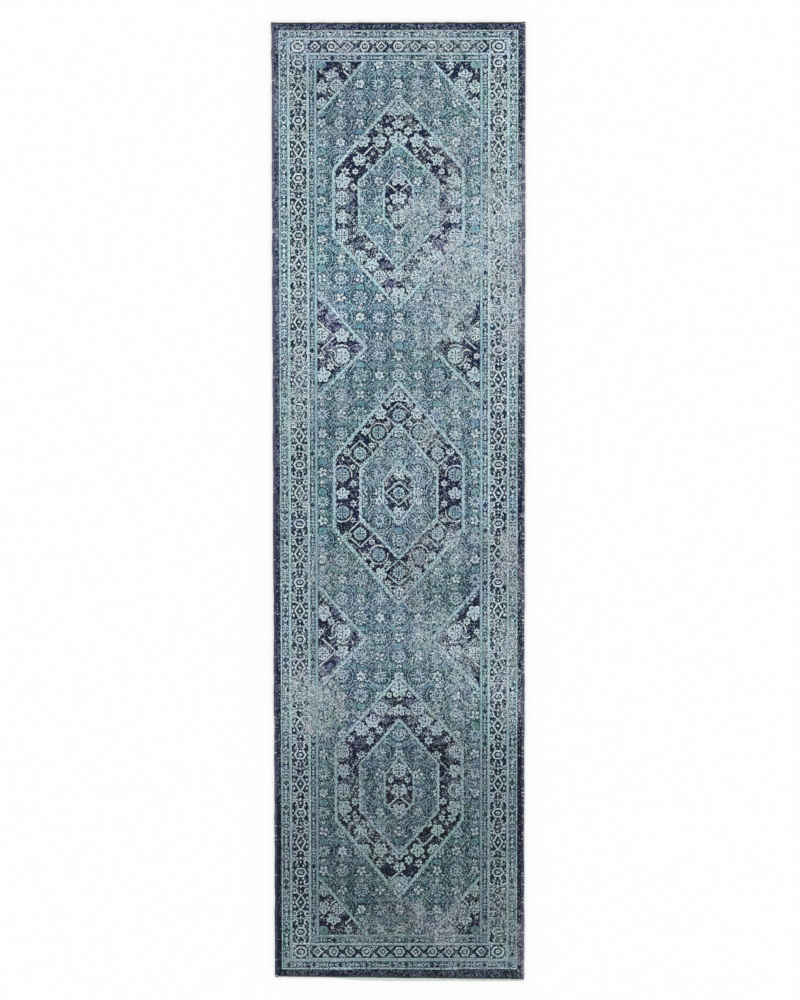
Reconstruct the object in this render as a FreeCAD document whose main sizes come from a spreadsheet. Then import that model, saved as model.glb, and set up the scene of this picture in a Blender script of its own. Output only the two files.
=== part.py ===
import FreeCAD, Part
import os
import Sketcher

# Runner rug, machine woven, lying flat on the floor.
#   X: across the rug, Y: along the rug (head end at +Y, foot end at -Y), Z: up.
#   Origin: centre of the rug's footprint on the floor.
# Layers from the floor up: latex size, woven ground, low pile.
# Long sides: a filler cord laid against the cut ground, both wrapped by the overlock yarn.
# Ends: a thin overlock round the cut, and a binding tape sewn underneath.
# At the foot the tape was sewn a little off square, so it peeps out past the end.

V = FreeCAD.Vector
doc = FreeCAD.newDocument("runner_rug")

# ---------------------------------------------------------------- driving dimensions
sheet = doc.addObject("Spreadsheet::Sheet", "Dims")
DIMS = [
    ("rug_width", 790.0),          # overall, over both overlocked sides
    ("head_y", 1505.0),            # head end
    ("foot_y_left", -1492.0),      # foot end at the left side
    ("foot_y_right", -1501.0),     # foot end at the right side
    ("tape_foot_y", -1505.0),      # the foot tape's outermost edge
    ("latex_thk", 0.8),
    ("ground_thk", 2.2),
    ("pile_thk", 4.5),
    ("side_bead_w", 9.0),          # side overlock, seen from above
    ("side_bead_thk", 6.8),
    ("side_slot_depth", 3.2),      # how far the ground enters the side overlock
    ("cord_dia", 3.0),
    ("cord_clear", 0.05),
    ("cord_inset", 4.0),           # cord centre in from the rug's side
    ("cord_z", 2.4),
    ("end_bead_w", 5.0),           # end overlock, seen from above
    ("end_bead_thk", 6.0),
    ("end_slot_depth", 3.5),
    ("tape_w", 30.0),
    ("tape_thk", 0.8),
    ("seam_len", 5.0),             # one visible lockstitch
    ("seam_pitch", 7.5),
    ("seam_w", 0.8),
    ("seam_thk", 0.5),
    ("seam_count", 102.0),
    ("label_w", 60.0),
    ("label_len", 40.0),
    ("label_thk", 0.3),
    ("label_clear", 0.5),
    ("label_x", 250.0),            # label centre
    ("label_y", -1370.0),
    ("tack_len", 3.0),
    ("tack_w", 0.6),
    ("tack_thk", 0.25),
    ("tack_count", 12.0),
    ("tack_pitch", 4.6),
]
for i, (alias, value) in enumerate(DIMS, start=1):
    sheet.set("A%d" % i, alias)
    sheet.set("B%d" % i, str(value))
    sheet.setAlias("B%d" % i, alias)
doc.recompute()


def dim(alias):
    return float(sheet.get(alias))


def foot_y(x):
    """The foot end's line: it runs a little off square from the left side to the right."""
    half = dim("rug_width") / 2
    t = (x + half) / (2 * half)
    return dim("foot_y_left") + t * (dim("foot_y_right") - dim("foot_y_left"))


# ---------------------------------------------------------------- helpers
def new_body(name):
    body = doc.addObject("PartDesign::Body", name)
    body.Label = name
    return body


def plane_of(body, role):
    return next(o for o in body.Origin.OriginFeatures if o.Role == role)


def new_sketch(body, name, role="XY_Plane", offset=None):
    """A sketch on one of the body's own origin planes. offset is an expression for its height."""
    sk = body.newObject("Sketcher::SketchObject", name)
    sk.AttachmentSupport = [(plane_of(body, role), "")]
    sk.MapMode = "FlatFace"
    if offset is not None:
        sk.setExpression(".AttachmentOffset.Base.z", offset)
    return sk


def bind(sk, index, name, expression):
    sk.renameConstraint(index, name)
    sk.setExpression("Constraints." + name, expression)


def polygon(sk, points, expressions):
    """A closed polygon whose every corner is held from the origin by two bound dimensions.
    points: rough places; expressions: (x, y) expressions, with the sign in the text."""
    n = len(points)
    for i in range(n):
        a, b = points[i], points[(i + 1) % n]
        sk.addGeometry(Part.LineSegment(V(a[0], a[1], 0), V(b[0], b[1], 0)), False)
    for i in range(n):
        sk.addConstraint(Sketcher.Constraint("Coincident", i, 2, (i + 1) % n, 1))
    for i in range(n):
        for axis, kind in enumerate(("DistanceX", "DistanceY")):
            value = points[i][axis]
            k = sk.addConstraint(Sketcher.Constraint(kind, -1, 1, i, 1, value))
            bind(sk, k, "p%d_%s" % (i, "xy"[axis]), expressions[i][axis])


def pad(body, sk, name, length, reverse=False):
    p = body.newObject("PartDesign::Pad", name)
    p.Profile = sk
    p.Type = 0
    p.setExpression("Length", length)
    p.Reversed = reverse
    sk.Visibility = False
    return p


def pocket(body, sk, name, length, reverse=False):
    p = body.newObject("PartDesign::Pocket", name)
    p.Profile = sk
    p.Type = 0
    p.setExpression("Length", length)
    p.Reversed = reverse
    return p


def edges_where(shape, test):
    return ["Edge%d" % (i + 1) for i, e in enumerate(shape.Edges) if test(e)]


def fillet(body, base, names, radius):
    f = body.newObject("PartDesign::Fillet", "Fillet_" + body.Name)
    f.Base = (base, names)
    f.Radius = radius
    return f


D = "Dims."
HALF = D + "rug_width / 2"
FOOT_SLOPE = "(" + D + "foot_y_right - " + D + "foot_y_left) / " + D + "rug_width"


def foot_expr(x_expression, shift):
    """The foot end's y at that x, moved in by shift."""
    return (D + "foot_y_left + (" + x_expression + " + " + HALF + ") * "
            + FOOT_SLOPE + " + (" + shift + ")")


def layer_outline(sk, inset_x, inset_end):
    """The rug's outline taken in by inset_x at the sides and inset_end at both ends."""
    half = dim("rug_width") / 2
    ix = sheet_sum(inset_x)
    ie = sheet_sum(inset_end)
    x = half - ix
    pts = [(-x, foot_y(-x) + ie), (x, foot_y(x) + ie),
           (x, dim("head_y") - ie), (-x, dim("head_y") - ie)]
    left, right = "-(" + HALF + " - (" + inset_x + "))", "(" + HALF + " - (" + inset_x + "))"
    ex = [(left, foot_expr(left, inset_end)), (right, foot_expr(right, inset_end)),
          (right, D + "head_y - (" + inset_end + ")"), (left, D + "head_y - (" + inset_end + ")")]
    polygon(sk, pts, ex)


def sheet_sum(text):
    """The number that a sum or difference of sheet cells stands for."""
    total, sign = 0.0, 1.0
    for word in text.replace("+", " + ").replace("- ", " - ").split():
        if word == "+":
            sign = 1.0
        elif word == "-":
            sign = -1.0
        else:
            value = dim(word[len(D):]) if word.startswith(D) else float(word)
            total += sign * value
            sign = 1.0
    return total


parts = []

# ---------------------------------------------------------------- woven layers
# Pile: stops against the overlock on all four sides; its upper rim is worn round.
pile = new_body("pile_face")
sk = new_sketch(pile, "PileOutline", offset=D + "latex_thk + " + D + "ground_thk")
layer_outline(sk, D + "side_bead_w", D + "end_bead_w")
p = pad(pile, sk, "PilePad", D + "pile_thk")
doc.recompute()
top = dim("latex_thk") + dim("ground_thk") + dim("pile_thk")
rim = edges_where(p.Shape, lambda e: all(abs(v.Z - top) < 1e-6 for v in e.Vertexes))
fillet(pile, p, rim, 1.2)
parts.append(pile)

# Ground: the warp and weft cloth, which enters the overlock on every side.
ground = new_body("ground_weave")
sk = new_sketch(ground, "GroundOutline", offset=D + "latex_thk")
layer_outline(sk, D + "side_bead_w - " + D + "side_slot_depth",
              D + "end_bead_w - " + D + "end_slot_depth")
pad(ground, sk, "GroundPad", D + "ground_thk")
parts.append(ground)

# Latex size on the back, between the side overlocks and the two end tapes, with a seat for the label.
latex = new_body("latex_backing")
sk = new_sketch(latex, "LatexOutline")
lx = dim("rug_width") / 2 - dim("side_bead_w")
LX = "(" + HALF + " - " + D + "side_bead_w)"
FOOT_IN = D + "tape_foot_y + " + D + "tape_w + 5"
foot_in = dim("tape_foot_y") + dim("tape_w") + 5
polygon(sk, [(-lx, foot_in), (lx, foot_in), (lx, dim("head_y") - dim("tape_w")),
             (-lx, dim("head_y") - dim("tape_w"))],
        [("-" + LX, FOOT_IN), (LX, FOOT_IN), (LX, D + "head_y - " + D + "tape_w"),
         ("-" + LX, D + "head_y - " + D + "tape_w")])
pad(latex, sk, "LatexPad", D + "latex_thk")
doc.recompute()
sk = new_sketch(latex, "LabelSeat")
sw = dim("label_w") / 2 + dim("label_clear")
sl = dim("label_len") / 2 + dim("label_clear")
SW, SL = "(" + D + "label_w / 2 + " + D + "label_clear)", "(" + D + "label_len / 2 + " + D + "label_clear)"
cx, cy = dim("label_x"), dim("label_y")
CX, CY = D + "label_x", D + "label_y"
polygon(sk, [(cx - sw, cy - sl), (cx + sw, cy - sl), (cx + sw, cy + sl), (cx - sw, cy + sl)],
        [(CX + " - " + SW, CY + " - " + SL), (CX + " + " + SW, CY + " - " + SL),
         (CX + " + " + SW, CY + " + " + SL), (CX + " - " + SW, CY + " + " + SL)])
pk = pocket(latex, sk, "LabelSeatPocket", D + "label_thk + " + D + "tack_thk", reverse=True)
doc.recompute()
parts.append(latex)

# ---------------------------------------------------------------- side edges


def side_overlock(name, side):
    """The wrapped edge: a rounded bead with a bore for the filler cord and a slot for the ground."""
    body = new_body(name)
    half = dim("rug_width") / 2
    w, thk = dim("side_bead_w"), dim("side_bead_thk")
    fy = foot_y(side * half)
    # The profile is drawn in XZ and padded along Y; the XZ plane's normal points to -Y.
    sk = new_sketch(body, name + "_profile", role="XZ_Plane")
    inner, outer = side * (half - w), side * half
    s = "" if side > 0 else "-"
    IN, OUT = s + "(" + HALF + " - " + D + "side_bead_w)", s + "(" + HALF + ")"
    polygon(sk, [(inner, 0.0), (outer, 0.0), (outer, thk), (inner, thk)],
            [(IN, "0"), (OUT, "0"), (OUT, D + "side_bead_thk"), (IN, D + "side_bead_thk")])
    length = dim("head_y") - fy
    foot_cell = "foot_y_right" if side > 0 else "foot_y_left"
    sk.setExpression(".AttachmentOffset.Base.z", "-" + D + "head_y")
    pd = pad(body, sk, name + "_pad", D + "head_y - " + D + foot_cell)
    doc.recompute()
    bb = pd.Shape.BoundBox
    assert abs(bb.YMax - dim("head_y")) < 1e-6 and abs(bb.YMin - fy) < 1e-6, (name, bb)

    def long_outer(e):
        a, b = e.Vertexes[0].Point, e.Vertexes[-1].Point
        return abs(a.y - b.y) > 100 and abs(a.x - outer) < 1e-6
    fl = fillet(body, pd, edges_where(pd.Shape, long_outer), 3.0)
    doc.recompute()

    def long_inner_top(e):
        a, b = e.Vertexes[0].Point, e.Vertexes[-1].Point
        return abs(a.y - b.y) > 100 and abs(a.x - inner) < 1e-6 and a.z > thk - 1e-6
    f2 = body.newObject("PartDesign::Fillet", name + "_inner_fillet")
    f2.Base = (fl, edges_where(fl.Shape, long_inner_top))
    f2.Radius = 2.2
    doc.recompute()
    before = body.Shape.Volume
    # Slot for the ground
    sk2 = new_sketch(body, name + "_slot", role="XZ_Plane")
    deep = side * (half - w + dim("side_slot_depth"))
    DEEP = s + "(" + HALF + " - " + D + "side_bead_w + " + D + "side_slot_depth)"
    z0, z1 = dim("latex_thk"), dim("latex_thk") + dim("ground_thk")
    polygon(sk2, [(inner, z0), (deep, z0), (deep, z1), (inner, z1)],
            [(IN, D + "latex_thk"), (DEEP, D + "latex_thk"),
             (DEEP, D + "latex_thk + " + D + "ground_thk"), (IN, D + "latex_thk + " + D + "ground_thk")])
    sk2.setExpression(".AttachmentOffset.Base.z", "-" + D + "head_y")
    pocket(body, sk2, name + "_slot_cut", D + "head_y - " + D + foot_cell, reverse=True)
    doc.recompute()
    # Bore for the filler cord
    sk3 = new_sketch(body, name + "_bore", role="XZ_Plane")
    ccx, ccz, r = side * (half - dim("cord_inset")), dim("cord_z"), dim("cord_dia") / 2 + dim("cord_clear")
    sk3.addGeometry(Part.Circle(V(ccx, ccz, 0), V(0, 0, 1), r), False)
    k = sk3.addConstraint(Sketcher.Constraint("Radius", 0, r))
    bind(sk3, k, "bore_r", D + "cord_dia / 2 + " + D + "cord_clear")
    k = sk3.addConstraint(Sketcher.Constraint("DistanceX", -1, 1, 0, 3, ccx))
    bind(sk3, k, "bore_x", s + "(" + HALF + " - " + D + "cord_inset)")
    k = sk3.addConstraint(Sketcher.Constraint("DistanceY", -1, 1, 0, 3, ccz))
    bind(sk3, k, "bore_z", D + "cord_z")
    sk3.setExpression(".AttachmentOffset.Base.z", "-" + D + "head_y")
    pocket(body, sk3, name + "_bore_cut", D + "head_y - " + D + foot_cell, reverse=True)
    doc.recompute()
    removed = before - body.Shape.Volume
    assert removed > 0.9 * length * 3.14 * 1.5 * 1.5, (name, removed)
    return body


parts.append(side_overlock("overlock_left", -1))
parts.append(side_overlock("overlock_right", 1))

# Filler cords inside the side overlocks
for name, sign, foot_cell in (("filler_cord_left", "-", "foot_y_left"),
                              ("filler_cord_right", "", "foot_y_right")):
    c = doc.addObject("Part::Cylinder", name)
    c.Label = name
    c.setExpression("Radius", D + "cord_dia / 2")
    c.setExpression("Height", D + "head_y - " + D + foot_cell + " - 1")
    # The cylinder is made along +Z and laid along +Y.
    c.Placement = FreeCAD.Placement(V(0, 0, 0), FreeCAD.Rotation(V(1, 0, 0), -90))
    c.setExpression(".Placement.Base.x", sign + "(" + HALF + " - " + D + "cord_inset)")
    c.setExpression(".Placement.Base.y", D + foot_cell + " + 0.5")
    c.setExpression(".Placement.Base.z", D + "cord_z")
    parts.append(c)

# ---------------------------------------------------------------- ends
EX = "(" + HALF + " - " + D + "side_bead_w)"
ex = dim("rug_width") / 2 - dim("side_bead_w")


def end_overlock(name, head):
    """The overlocked cut: a narrow bead along the end, with a slot for the ground."""
    body = new_body(name)
    w, slot = dim("end_bead_w"), dim("end_slot_depth")
    out = w - slot
    left, right = "-" + EX, EX
    if head:
        y_out = [dim("head_y")] * 2
        y_in = [dim("head_y") - w] * 2
        y_slot = [dim("head_y") - out] * 2
        E_out = [D + "head_y"] * 2
        E_in = [D + "head_y - " + D + "end_bead_w"] * 2
        E_slot = [D + "head_y - " + D + "end_bead_w + " + D + "end_slot_depth"] * 2
    else:
        y_out = [foot_y(-ex), foot_y(ex)]
        y_in = [y + w for y in y_out]
        y_slot = [y + out for y in y_out]
        E_out = [foot_expr(left, "0"), foot_expr(right, "0")]
        E_in = [foot_expr(left, D + "end_bead_w"), foot_expr(right, D + "end_bead_w")]
        E_slot = [foot_expr(left, D + "end_bead_w - " + D + "end_slot_depth"),
                  foot_expr(right, D + "end_bead_w - " + D + "end_slot_depth")]
    sk = new_sketch(body, name + "_outline", offset=D + "tape_thk")
    polygon(sk, [(-ex, y_out[0]), (ex, y_out[1]), (ex, y_in[1]), (-ex, y_in[0])],
            [(left, E_out[0]), (right, E_out[1]), (right, E_in[1]), (left, E_in[0])])
    pd = pad(body, sk, name + "_pad", D + "end_bead_thk")
    doc.recompute()
    z_top = dim("tape_thk") + dim("end_bead_thk")

    def outer_top(e):
        a, b = e.Vertexes[0].Point, e.Vertexes[-1].Point
        mid = (a + b) * 0.5
        on_out = abs(mid.y - (y_out[0] + y_out[1]) / 2) < 1.0
        return abs(a.x - b.x) > 100 and on_out and a.z > z_top - 1e-6
    fl = fillet(body, pd, edges_where(pd.Shape, outer_top), 2.5)
    doc.recompute()
    before = body.Shape.Volume
    sk2 = new_sketch(body, name + "_slot", offset=D + "latex_thk")
    polygon(sk2, [(-ex, y_in[0]), (ex, y_in[1]), (ex, y_slot[1]), (-ex, y_slot[0])],
            [(left, E_in[0]), (right, E_in[1]), (right, E_slot[1]), (left, E_slot[0])])
    pocket(body, sk2, name + "_slot_cut", D + "ground_thk", reverse=True)
    doc.recompute()
    removed = before - body.Shape.Volume
    assert removed > 0.95 * 2 * ex * slot * dim("ground_thk"), (name, removed)
    return body


parts.append(end_overlock("end_overlock_head", True))
parts.append(end_overlock("end_overlock_foot", False))


def end_tape(name, head):
    """The binding tape under an end, with a slot for every stitch that holds it."""
    body = new_body(name)
    sk = new_sketch(body, name + "_outline")
    if head:
        y0, y1 = dim("head_y") - dim("tape_w"), dim("head_y")
        polygon(sk, [(-ex, y0), (ex, y0), (ex, y1), (-ex, y1)],
                [("-" + EX, D + "head_y - " + D + "tape_w"), (EX, D + "head_y - " + D + "tape_w"),
                 (EX, D + "head_y"), ("-" + EX, D + "head_y")])
        seam_y, SEAM = y0 + 4.0, D + "head_y - " + D + "tape_w + 4"
    else:
        out = dim("tape_foot_y")
        y1 = out + dim("tape_w") + 5
        # The outer edge leaves the rug's end near the left side and stays about square to the rug.
        pts = [(-ex, out + 17.0), (-230.0, out + 9.0), (-110.0, out + 1.5), (60.0, out), (ex, out),
               (ex, y1), (-ex, y1)]
        E = [("-" + EX, D + "tape_foot_y + 17"), ("-230", D + "tape_foot_y + 9"),
             ("-110", D + "tape_foot_y + 1.5"), ("60", D + "tape_foot_y"), (EX, D + "tape_foot_y"),
             (EX, D + "tape_foot_y + " + D + "tape_w + 5"), ("-" + EX, D + "tape_foot_y + " + D + "tape_w + 5")]
        polygon(sk, pts, E)
        seam_y, SEAM = y1 - 4.0, D + "tape_foot_y + " + D + "tape_w + 1"
    pd = pad(body, sk, name + "_pad", D + "tape_thk")
    doc.recompute()
    before = body.Shape.Volume
    n = int(dim("seam_count"))
    pitch, ln, sw = dim("seam_pitch"), dim("seam_len"), dim("seam_w")
    x0 = -(n - 1) * pitch / 2
    X0 = "-(" + D + "seam_count - 1) * " + D + "seam_pitch / 2"
    sk2 = new_sketch(body, name + "_stitch_slot")
    polygon(sk2, [(x0 - ln / 2, seam_y - sw / 2), (x0 + ln / 2, seam_y - sw / 2),
                  (x0 + ln / 2, seam_y + sw / 2), (x0 - ln / 2, seam_y + sw / 2)],
            [(X0 + " - " + D + "seam_len / 2", SEAM + " - " + D + "seam_w / 2"),
             (X0 + " + " + D + "seam_len / 2", SEAM + " - " + D + "seam_w / 2"),
             (X0 + " + " + D + "seam_len / 2", SEAM + " + " + D + "seam_w / 2"),
             (X0 + " - " + D + "seam_len / 2", SEAM + " + " + D + "seam_w / 2")])
    pk = pocket(body, sk2, name + "_stitch_cut", D + "seam_thk", reverse=True)
    doc.recompute()
    pat = body.newObject("PartDesign::LinearPattern", name + "_stitch_slots")
    pat.Originals = [pk]
    pat.Direction = (sk2, ["H_Axis"])
    pat.Length = (n - 1) * pitch
    pat.Occurrences = n
    body.Tip = pat
    pat.setExpression("Length", "(" + D + "seam_count - 1) * " + D + "seam_pitch")
    doc.recompute()
    removed = before - body.Shape.Volume
    want = n * ln * sw * dim("seam_thk")
    assert abs(removed - want) < 0.02 * want, (name, removed, want)
    return body, seam_y


tape_head, seam_head = end_tape("end_tape_head", True)
tape_foot, seam_foot = end_tape("end_tape_foot", False)
parts += [tape_head, tape_foot]

# ---------------------------------------------------------------- threads


def stitch_row(name, y, count, pitch, ln, w, thk, x_mid=0.0, z0=0.0):
    """A row of separate thread runs, each a flattened bar with round ends."""
    runs = []
    for i in range(count):
        x = x_mid + (i - (count - 1) / 2) * pitch
        bar = Part.makeBox(ln - 0.1, w - 0.1, thk - 0.05, V(x - ln / 2 + 0.05, y - w / 2 + 0.05, z0))
        upright = [e for e in bar.Edges if abs(e.Vertexes[0].Z - e.Vertexes[-1].Z) > 1e-6]
        bar = bar.makeFillet((w - 0.1) * 0.42, upright)
        runs.append(bar)
    f = doc.addObject("Part::Feature", name)
    f.Label = name
    f.Shape = Part.makeCompound(runs)
    f.Placement = FreeCAD.Placement(V(0, 0, 0), FreeCAD.Rotation())
    return f


seam = (int(dim("seam_count")), dim("seam_pitch"), dim("seam_len"), dim("seam_w"), dim("seam_thk"))
parts.append(stitch_row("tape_stitches_head", seam_head, *seam))
parts.append(stitch_row("tape_stitches_foot", seam_foot, *seam))

# ---------------------------------------------------------------- blank care label
label = new_body("care_label")
sk = new_sketch(label, "LabelOutline", offset=D + "tack_thk")
lw, ll = dim("label_w") / 2, dim("label_len") / 2
LW, LL = D + "label_w / 2", D + "label_len / 2"
polygon(sk, [(cx - lw, cy - ll), (cx + lw, cy - ll), (cx + lw, cy + ll), (cx - lw, cy + ll)],
        [(CX + " - " + LW, CY + " - " + LL), (CX + " + " + LW, CY + " - " + LL),
         (CX + " + " + LW, CY + " + " + LL), (CX + " - " + LW, CY + " + " + LL)])
lp = pad(label, sk, "LabelPad", D + "label_thk")
doc.recompute()
corner = edges_where(lp.Shape, lambda e: abs(e.Vertexes[0].Z - e.Vertexes[-1].Z) > 1e-6)
fillet(label, lp, corner, 1.5)
parts.append(label)

parts.append(stitch_row("label_stitches", cy + ll - 2.5, int(dim("tack_count")), dim("tack_pitch"),
                        dim("tack_len"), dim("tack_w"), dim("tack_thk") + 0.05, x_mid=cx))

# ---------------------------------------------------------------- check and write
doc.recompute()
for o in doc.Objects:
    bad = [s for s in o.State if s in ("Invalid", "Error")]
    if bad:
        raise RuntimeError("%s is %s" % (o.Label, bad))

os.makedirs("parts", exist_ok=True)
for o in parts:
    shape = o.Shape
    if shape.isNull() or not shape.isValid() or not shape.Solids:
        raise RuntimeError("%s has no valid solid" % o.Label)
    shape.exportStep("parts/%s.step" % o.Label)
    bb = shape.BoundBox
    print("%-22s solids %4d  volume %12.1f mm3  x %8.2f..%8.2f  y %9.2f..%9.2f  z %5.2f..%5.2f" % (
        o.Label, len(shape.Solids), shape.Volume, bb.XMin, bb.XMax, bb.YMin, bb.YMax, bb.ZMin, bb.ZMax))
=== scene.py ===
import math
import bpy
import numpy as np
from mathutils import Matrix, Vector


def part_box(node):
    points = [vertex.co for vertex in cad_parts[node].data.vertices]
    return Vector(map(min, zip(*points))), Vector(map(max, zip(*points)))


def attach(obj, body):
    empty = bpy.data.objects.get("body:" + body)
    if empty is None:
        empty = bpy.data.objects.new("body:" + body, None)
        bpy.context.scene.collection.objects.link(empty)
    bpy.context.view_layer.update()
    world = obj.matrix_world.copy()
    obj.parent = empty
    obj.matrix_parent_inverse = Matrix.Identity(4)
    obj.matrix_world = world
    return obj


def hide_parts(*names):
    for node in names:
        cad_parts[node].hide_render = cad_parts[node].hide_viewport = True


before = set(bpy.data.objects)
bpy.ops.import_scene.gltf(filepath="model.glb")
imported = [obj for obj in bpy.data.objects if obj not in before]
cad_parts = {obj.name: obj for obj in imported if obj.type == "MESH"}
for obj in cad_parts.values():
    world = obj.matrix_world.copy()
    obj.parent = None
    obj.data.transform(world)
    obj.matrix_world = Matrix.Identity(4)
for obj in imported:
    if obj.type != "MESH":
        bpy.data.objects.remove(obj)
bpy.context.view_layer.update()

# ------------------------------------------------------------------ the woven design
# Drawn like a weaver's point paper: u is the distance from the rug's long centre line and
# v the distance from the head end, both in millimetres. One half is drawn and mirrored.
RES = 1.25
NU, NV = 316, 2408
NAVY, INK, TEAL, DISC, LINE, PALE, MAUVE, BGRD, MGRD, LITE, IGRD, DISC2, TEAL2 = range(13)
cv = np.full((NV, NU), TEAL, np.uint8)
clip = [None]


def window(u0, u1, v0, v1):
    i0, i1 = max(0, int(u0 / RES) - 1), min(NU, int(u1 / RES) + 2)
    j0, j1 = max(0, int(v0 / RES) - 1), min(NV, int(v1 / RES) + 2)
    if i1 <= i0 or j1 <= j0:
        return None
    u = (np.arange(i0, i1) + 0.5) * RES
    v = (np.arange(j0, j1) + 0.5) * RES
    return (slice(j0, j1), slice(i0, i1)), u[None, :], v[:, None]


def paint(sl, mask, ink):
    if clip[0] is not None:
        mask = mask & clip[0][sl]
    cv[sl][mask] = ink


def ell(u, v, a, b, ink, turn=0.0, inner=0.0):
    """An ellipse, turned by so many degrees; inner > 0 leaves a ring of that width."""
    r = max(a, b)
    w = window(u - r, u + r, v - r, v + r)
    if w is None:
        return
    sl, U, V = w
    t = math.radians(turn)
    x, y = U - u, V - v
    p, q = x * math.cos(t) + y * math.sin(t), -x * math.sin(t) + y * math.cos(t)
    m = (p / a) ** 2 + (q / b) ** 2 <= 1.0
    if inner > 0 and a > inner and b > inner:
        m &= (p / (a - inner)) ** 2 + (q / (b - inner)) ** 2 >= 1.0
    paint(sl, m, ink)


def poly(pts, ink):
    us, vs = [p[0] for p in pts], [p[1] for p in pts]
    w = window(min(us), max(us), min(vs), max(vs))
    if w is None:
        return
    sl, U, V = w
    m = np.zeros((V.shape[0], U.shape[1]), bool)
    n = len(pts)
    for i in range(n):
        (u0, v0), (u1, v1) = pts[i], pts[(i + 1) % n]
        if v0 == v1:
            continue
        cross = ((V > v0) != (V > v1)) & (U < (u1 - u0) * (V - v0) / (v1 - v0) + u0)
        m ^= cross
    paint(sl, m, ink)


def stroke(pts, width, ink):
    for (u0, v0), (u1, v1) in zip(pts[:-1], pts[1:]):
        h = width / 2
        w = window(min(u0, u1) - h, max(u0, u1) + h, min(v0, v1) - h, max(v0, v1) + h)
        if w is None:
            continue
        sl, U, V = w
        du, dv = u1 - u0, v1 - v0
        L = du * du + dv * dv
        t = np.clip(((U - u0) * du + (V - v0) * dv) / max(L, 1e-9), 0, 1)
        paint(sl, (U - u0 - t * du) ** 2 + (V - v0 - t * dv) ** 2 <= h * h, ink)


def arc(u, v, r, a0, a1, width, ink, squash=1.0):
    """Part of a circle, angles in degrees clockwise from +u as the rug is seen from above."""
    n = max(3, int(abs(a1 - a0) / 14))
    pts = [(u + r * math.cos(math.radians(a0 + (a1 - a0) * k / n)),
            v + r * squash * math.sin(math.radians(a0 + (a1 - a0) * k / n))) for k in range(n + 1)]
    stroke(pts, width, ink)


def diamond(u, v, a, b, ink):
    poly([(u - a, v), (u, v - b), (u + a, v), (u, v + b)], ink)


# ---- flowers
def petals(u, v, r, n, ink, fat=0.30, phase=0.0, reach=0.58):
    for k in range(n):
        a = phase + 360.0 * k / n
        ell(u + r * reach * math.cos(math.radians(a)), v + r * reach * math.sin(math.radians(a)),
            r * (1 - reach), r * fat, ink, turn=a)


def star(u, v, r, ink=PALE, edge=INK, n=6, phase=30.0):
    petals(u, v, r + 2.2, n, edge, fat=0.34, phase=phase)
    petals(u, v, r, n, ink, fat=0.26, phase=phase)
    ell(u, v, r * 0.30, r * 0.30, edge)
    ell(u, v, r * 0.12, r * 0.12, ink)


def rosette(u, v, r, ring=INK, face=PALE, halo=None, lace=None):
    """A round flower in a scalloped ring, with a crossed heart."""
    lace = face if lace is None else lace
    if halo is not None:
        ell(u, v, r + 8.5, r + 8.5, halo, inner=3.8)
    ell(u, v, r + 4.0, r + 4.0, ring)
    ell(u, v, r, r, face)
    for k in range(12):
        a = math.radians(30 * k + 15)
        ell(u + r * 0.99 * math.cos(a), v + r * 0.99 * math.sin(a), 2.5, 2.5, ring)
        ell(u + (r + 4.2) * math.cos(a), v + (r + 4.2) * math.sin(a), 1.9, 1.9, lace)
    for k in range(4):
        a = math.radians(90 * k)
        c, s = math.cos(a), math.sin(a)
        stroke([(u + 0.26 * r * c, v + 0.26 * r * s), (u + 0.68 * r * c, v + 0.68 * r * s)], 2.8, ring)
        d = math.radians(90 * k + 45)
        ell(u + 0.54 * r * math.cos(d), v + 0.54 * r * math.sin(d), 2.7, 2.7, ring)
    ell(u, v, 2.4, 2.4, ring)
    ell(u, v, 1.2, 1.2, face)


def palmette(u, v, w, h, up=1, ink=PALE, edge=NAVY):
    """A fan-shaped flower: three lobes above a waisted base."""
    s = -1 if up else 1
    a, b = w * 0.56, h * 0.56
    for grow, c in ((2.4, edge), (0.0, ink)):
        ell(u, v + s * b * 0.38, a * 0.44 + grow, b * 0.62 + grow, c)
        for side in (-1, 1):
            ell(u + side * a * 0.58, v + s * b * 0.10, a * 0.42 + grow, b * 0.40 + grow, c, turn=side * s * 28)
            ell(u + side * a * 0.34, v - s * b * 0.58, a * 0.36 + grow, b * 0.34 + grow, c, turn=-side * s * 25)
        ell(u, v - s * b * 0.1, a * 0.5 + grow, b * 0.55 + grow, c)
    ell(u, v + s * b * 0.02, 2.8, 2.8, edge)
    stroke([(u, v + s * b * 0.35), (u, v + s * b * 0.80)], 2.5, edge)
    for side in (-1, 1):
        stroke([(u + side * a * 0.30, v + s * b * 0.12), (u + side * a * 0.66, v + s * b * 0.24)], 2.5, edge)
        ell(u + side * a * 0.30, v - s * b * 0.55, 2.2, 2.2, edge)


def leaf(u, v, r, a0, a1, ink=PALE, edge=NAVY, width=4.4):
    arc(u, v, r, a0, a1, width + 4.4, edge)
    arc(u, v, r, a0, a1, width, ink)


def hook(pts, ink=PALE, edge=NAVY, width=4.4, spine=False):
    stroke(pts, width + 5.0, edge)
    stroke(pts, width, ink)
    if spine:
        stroke(pts, 1.6, edge)


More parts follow.
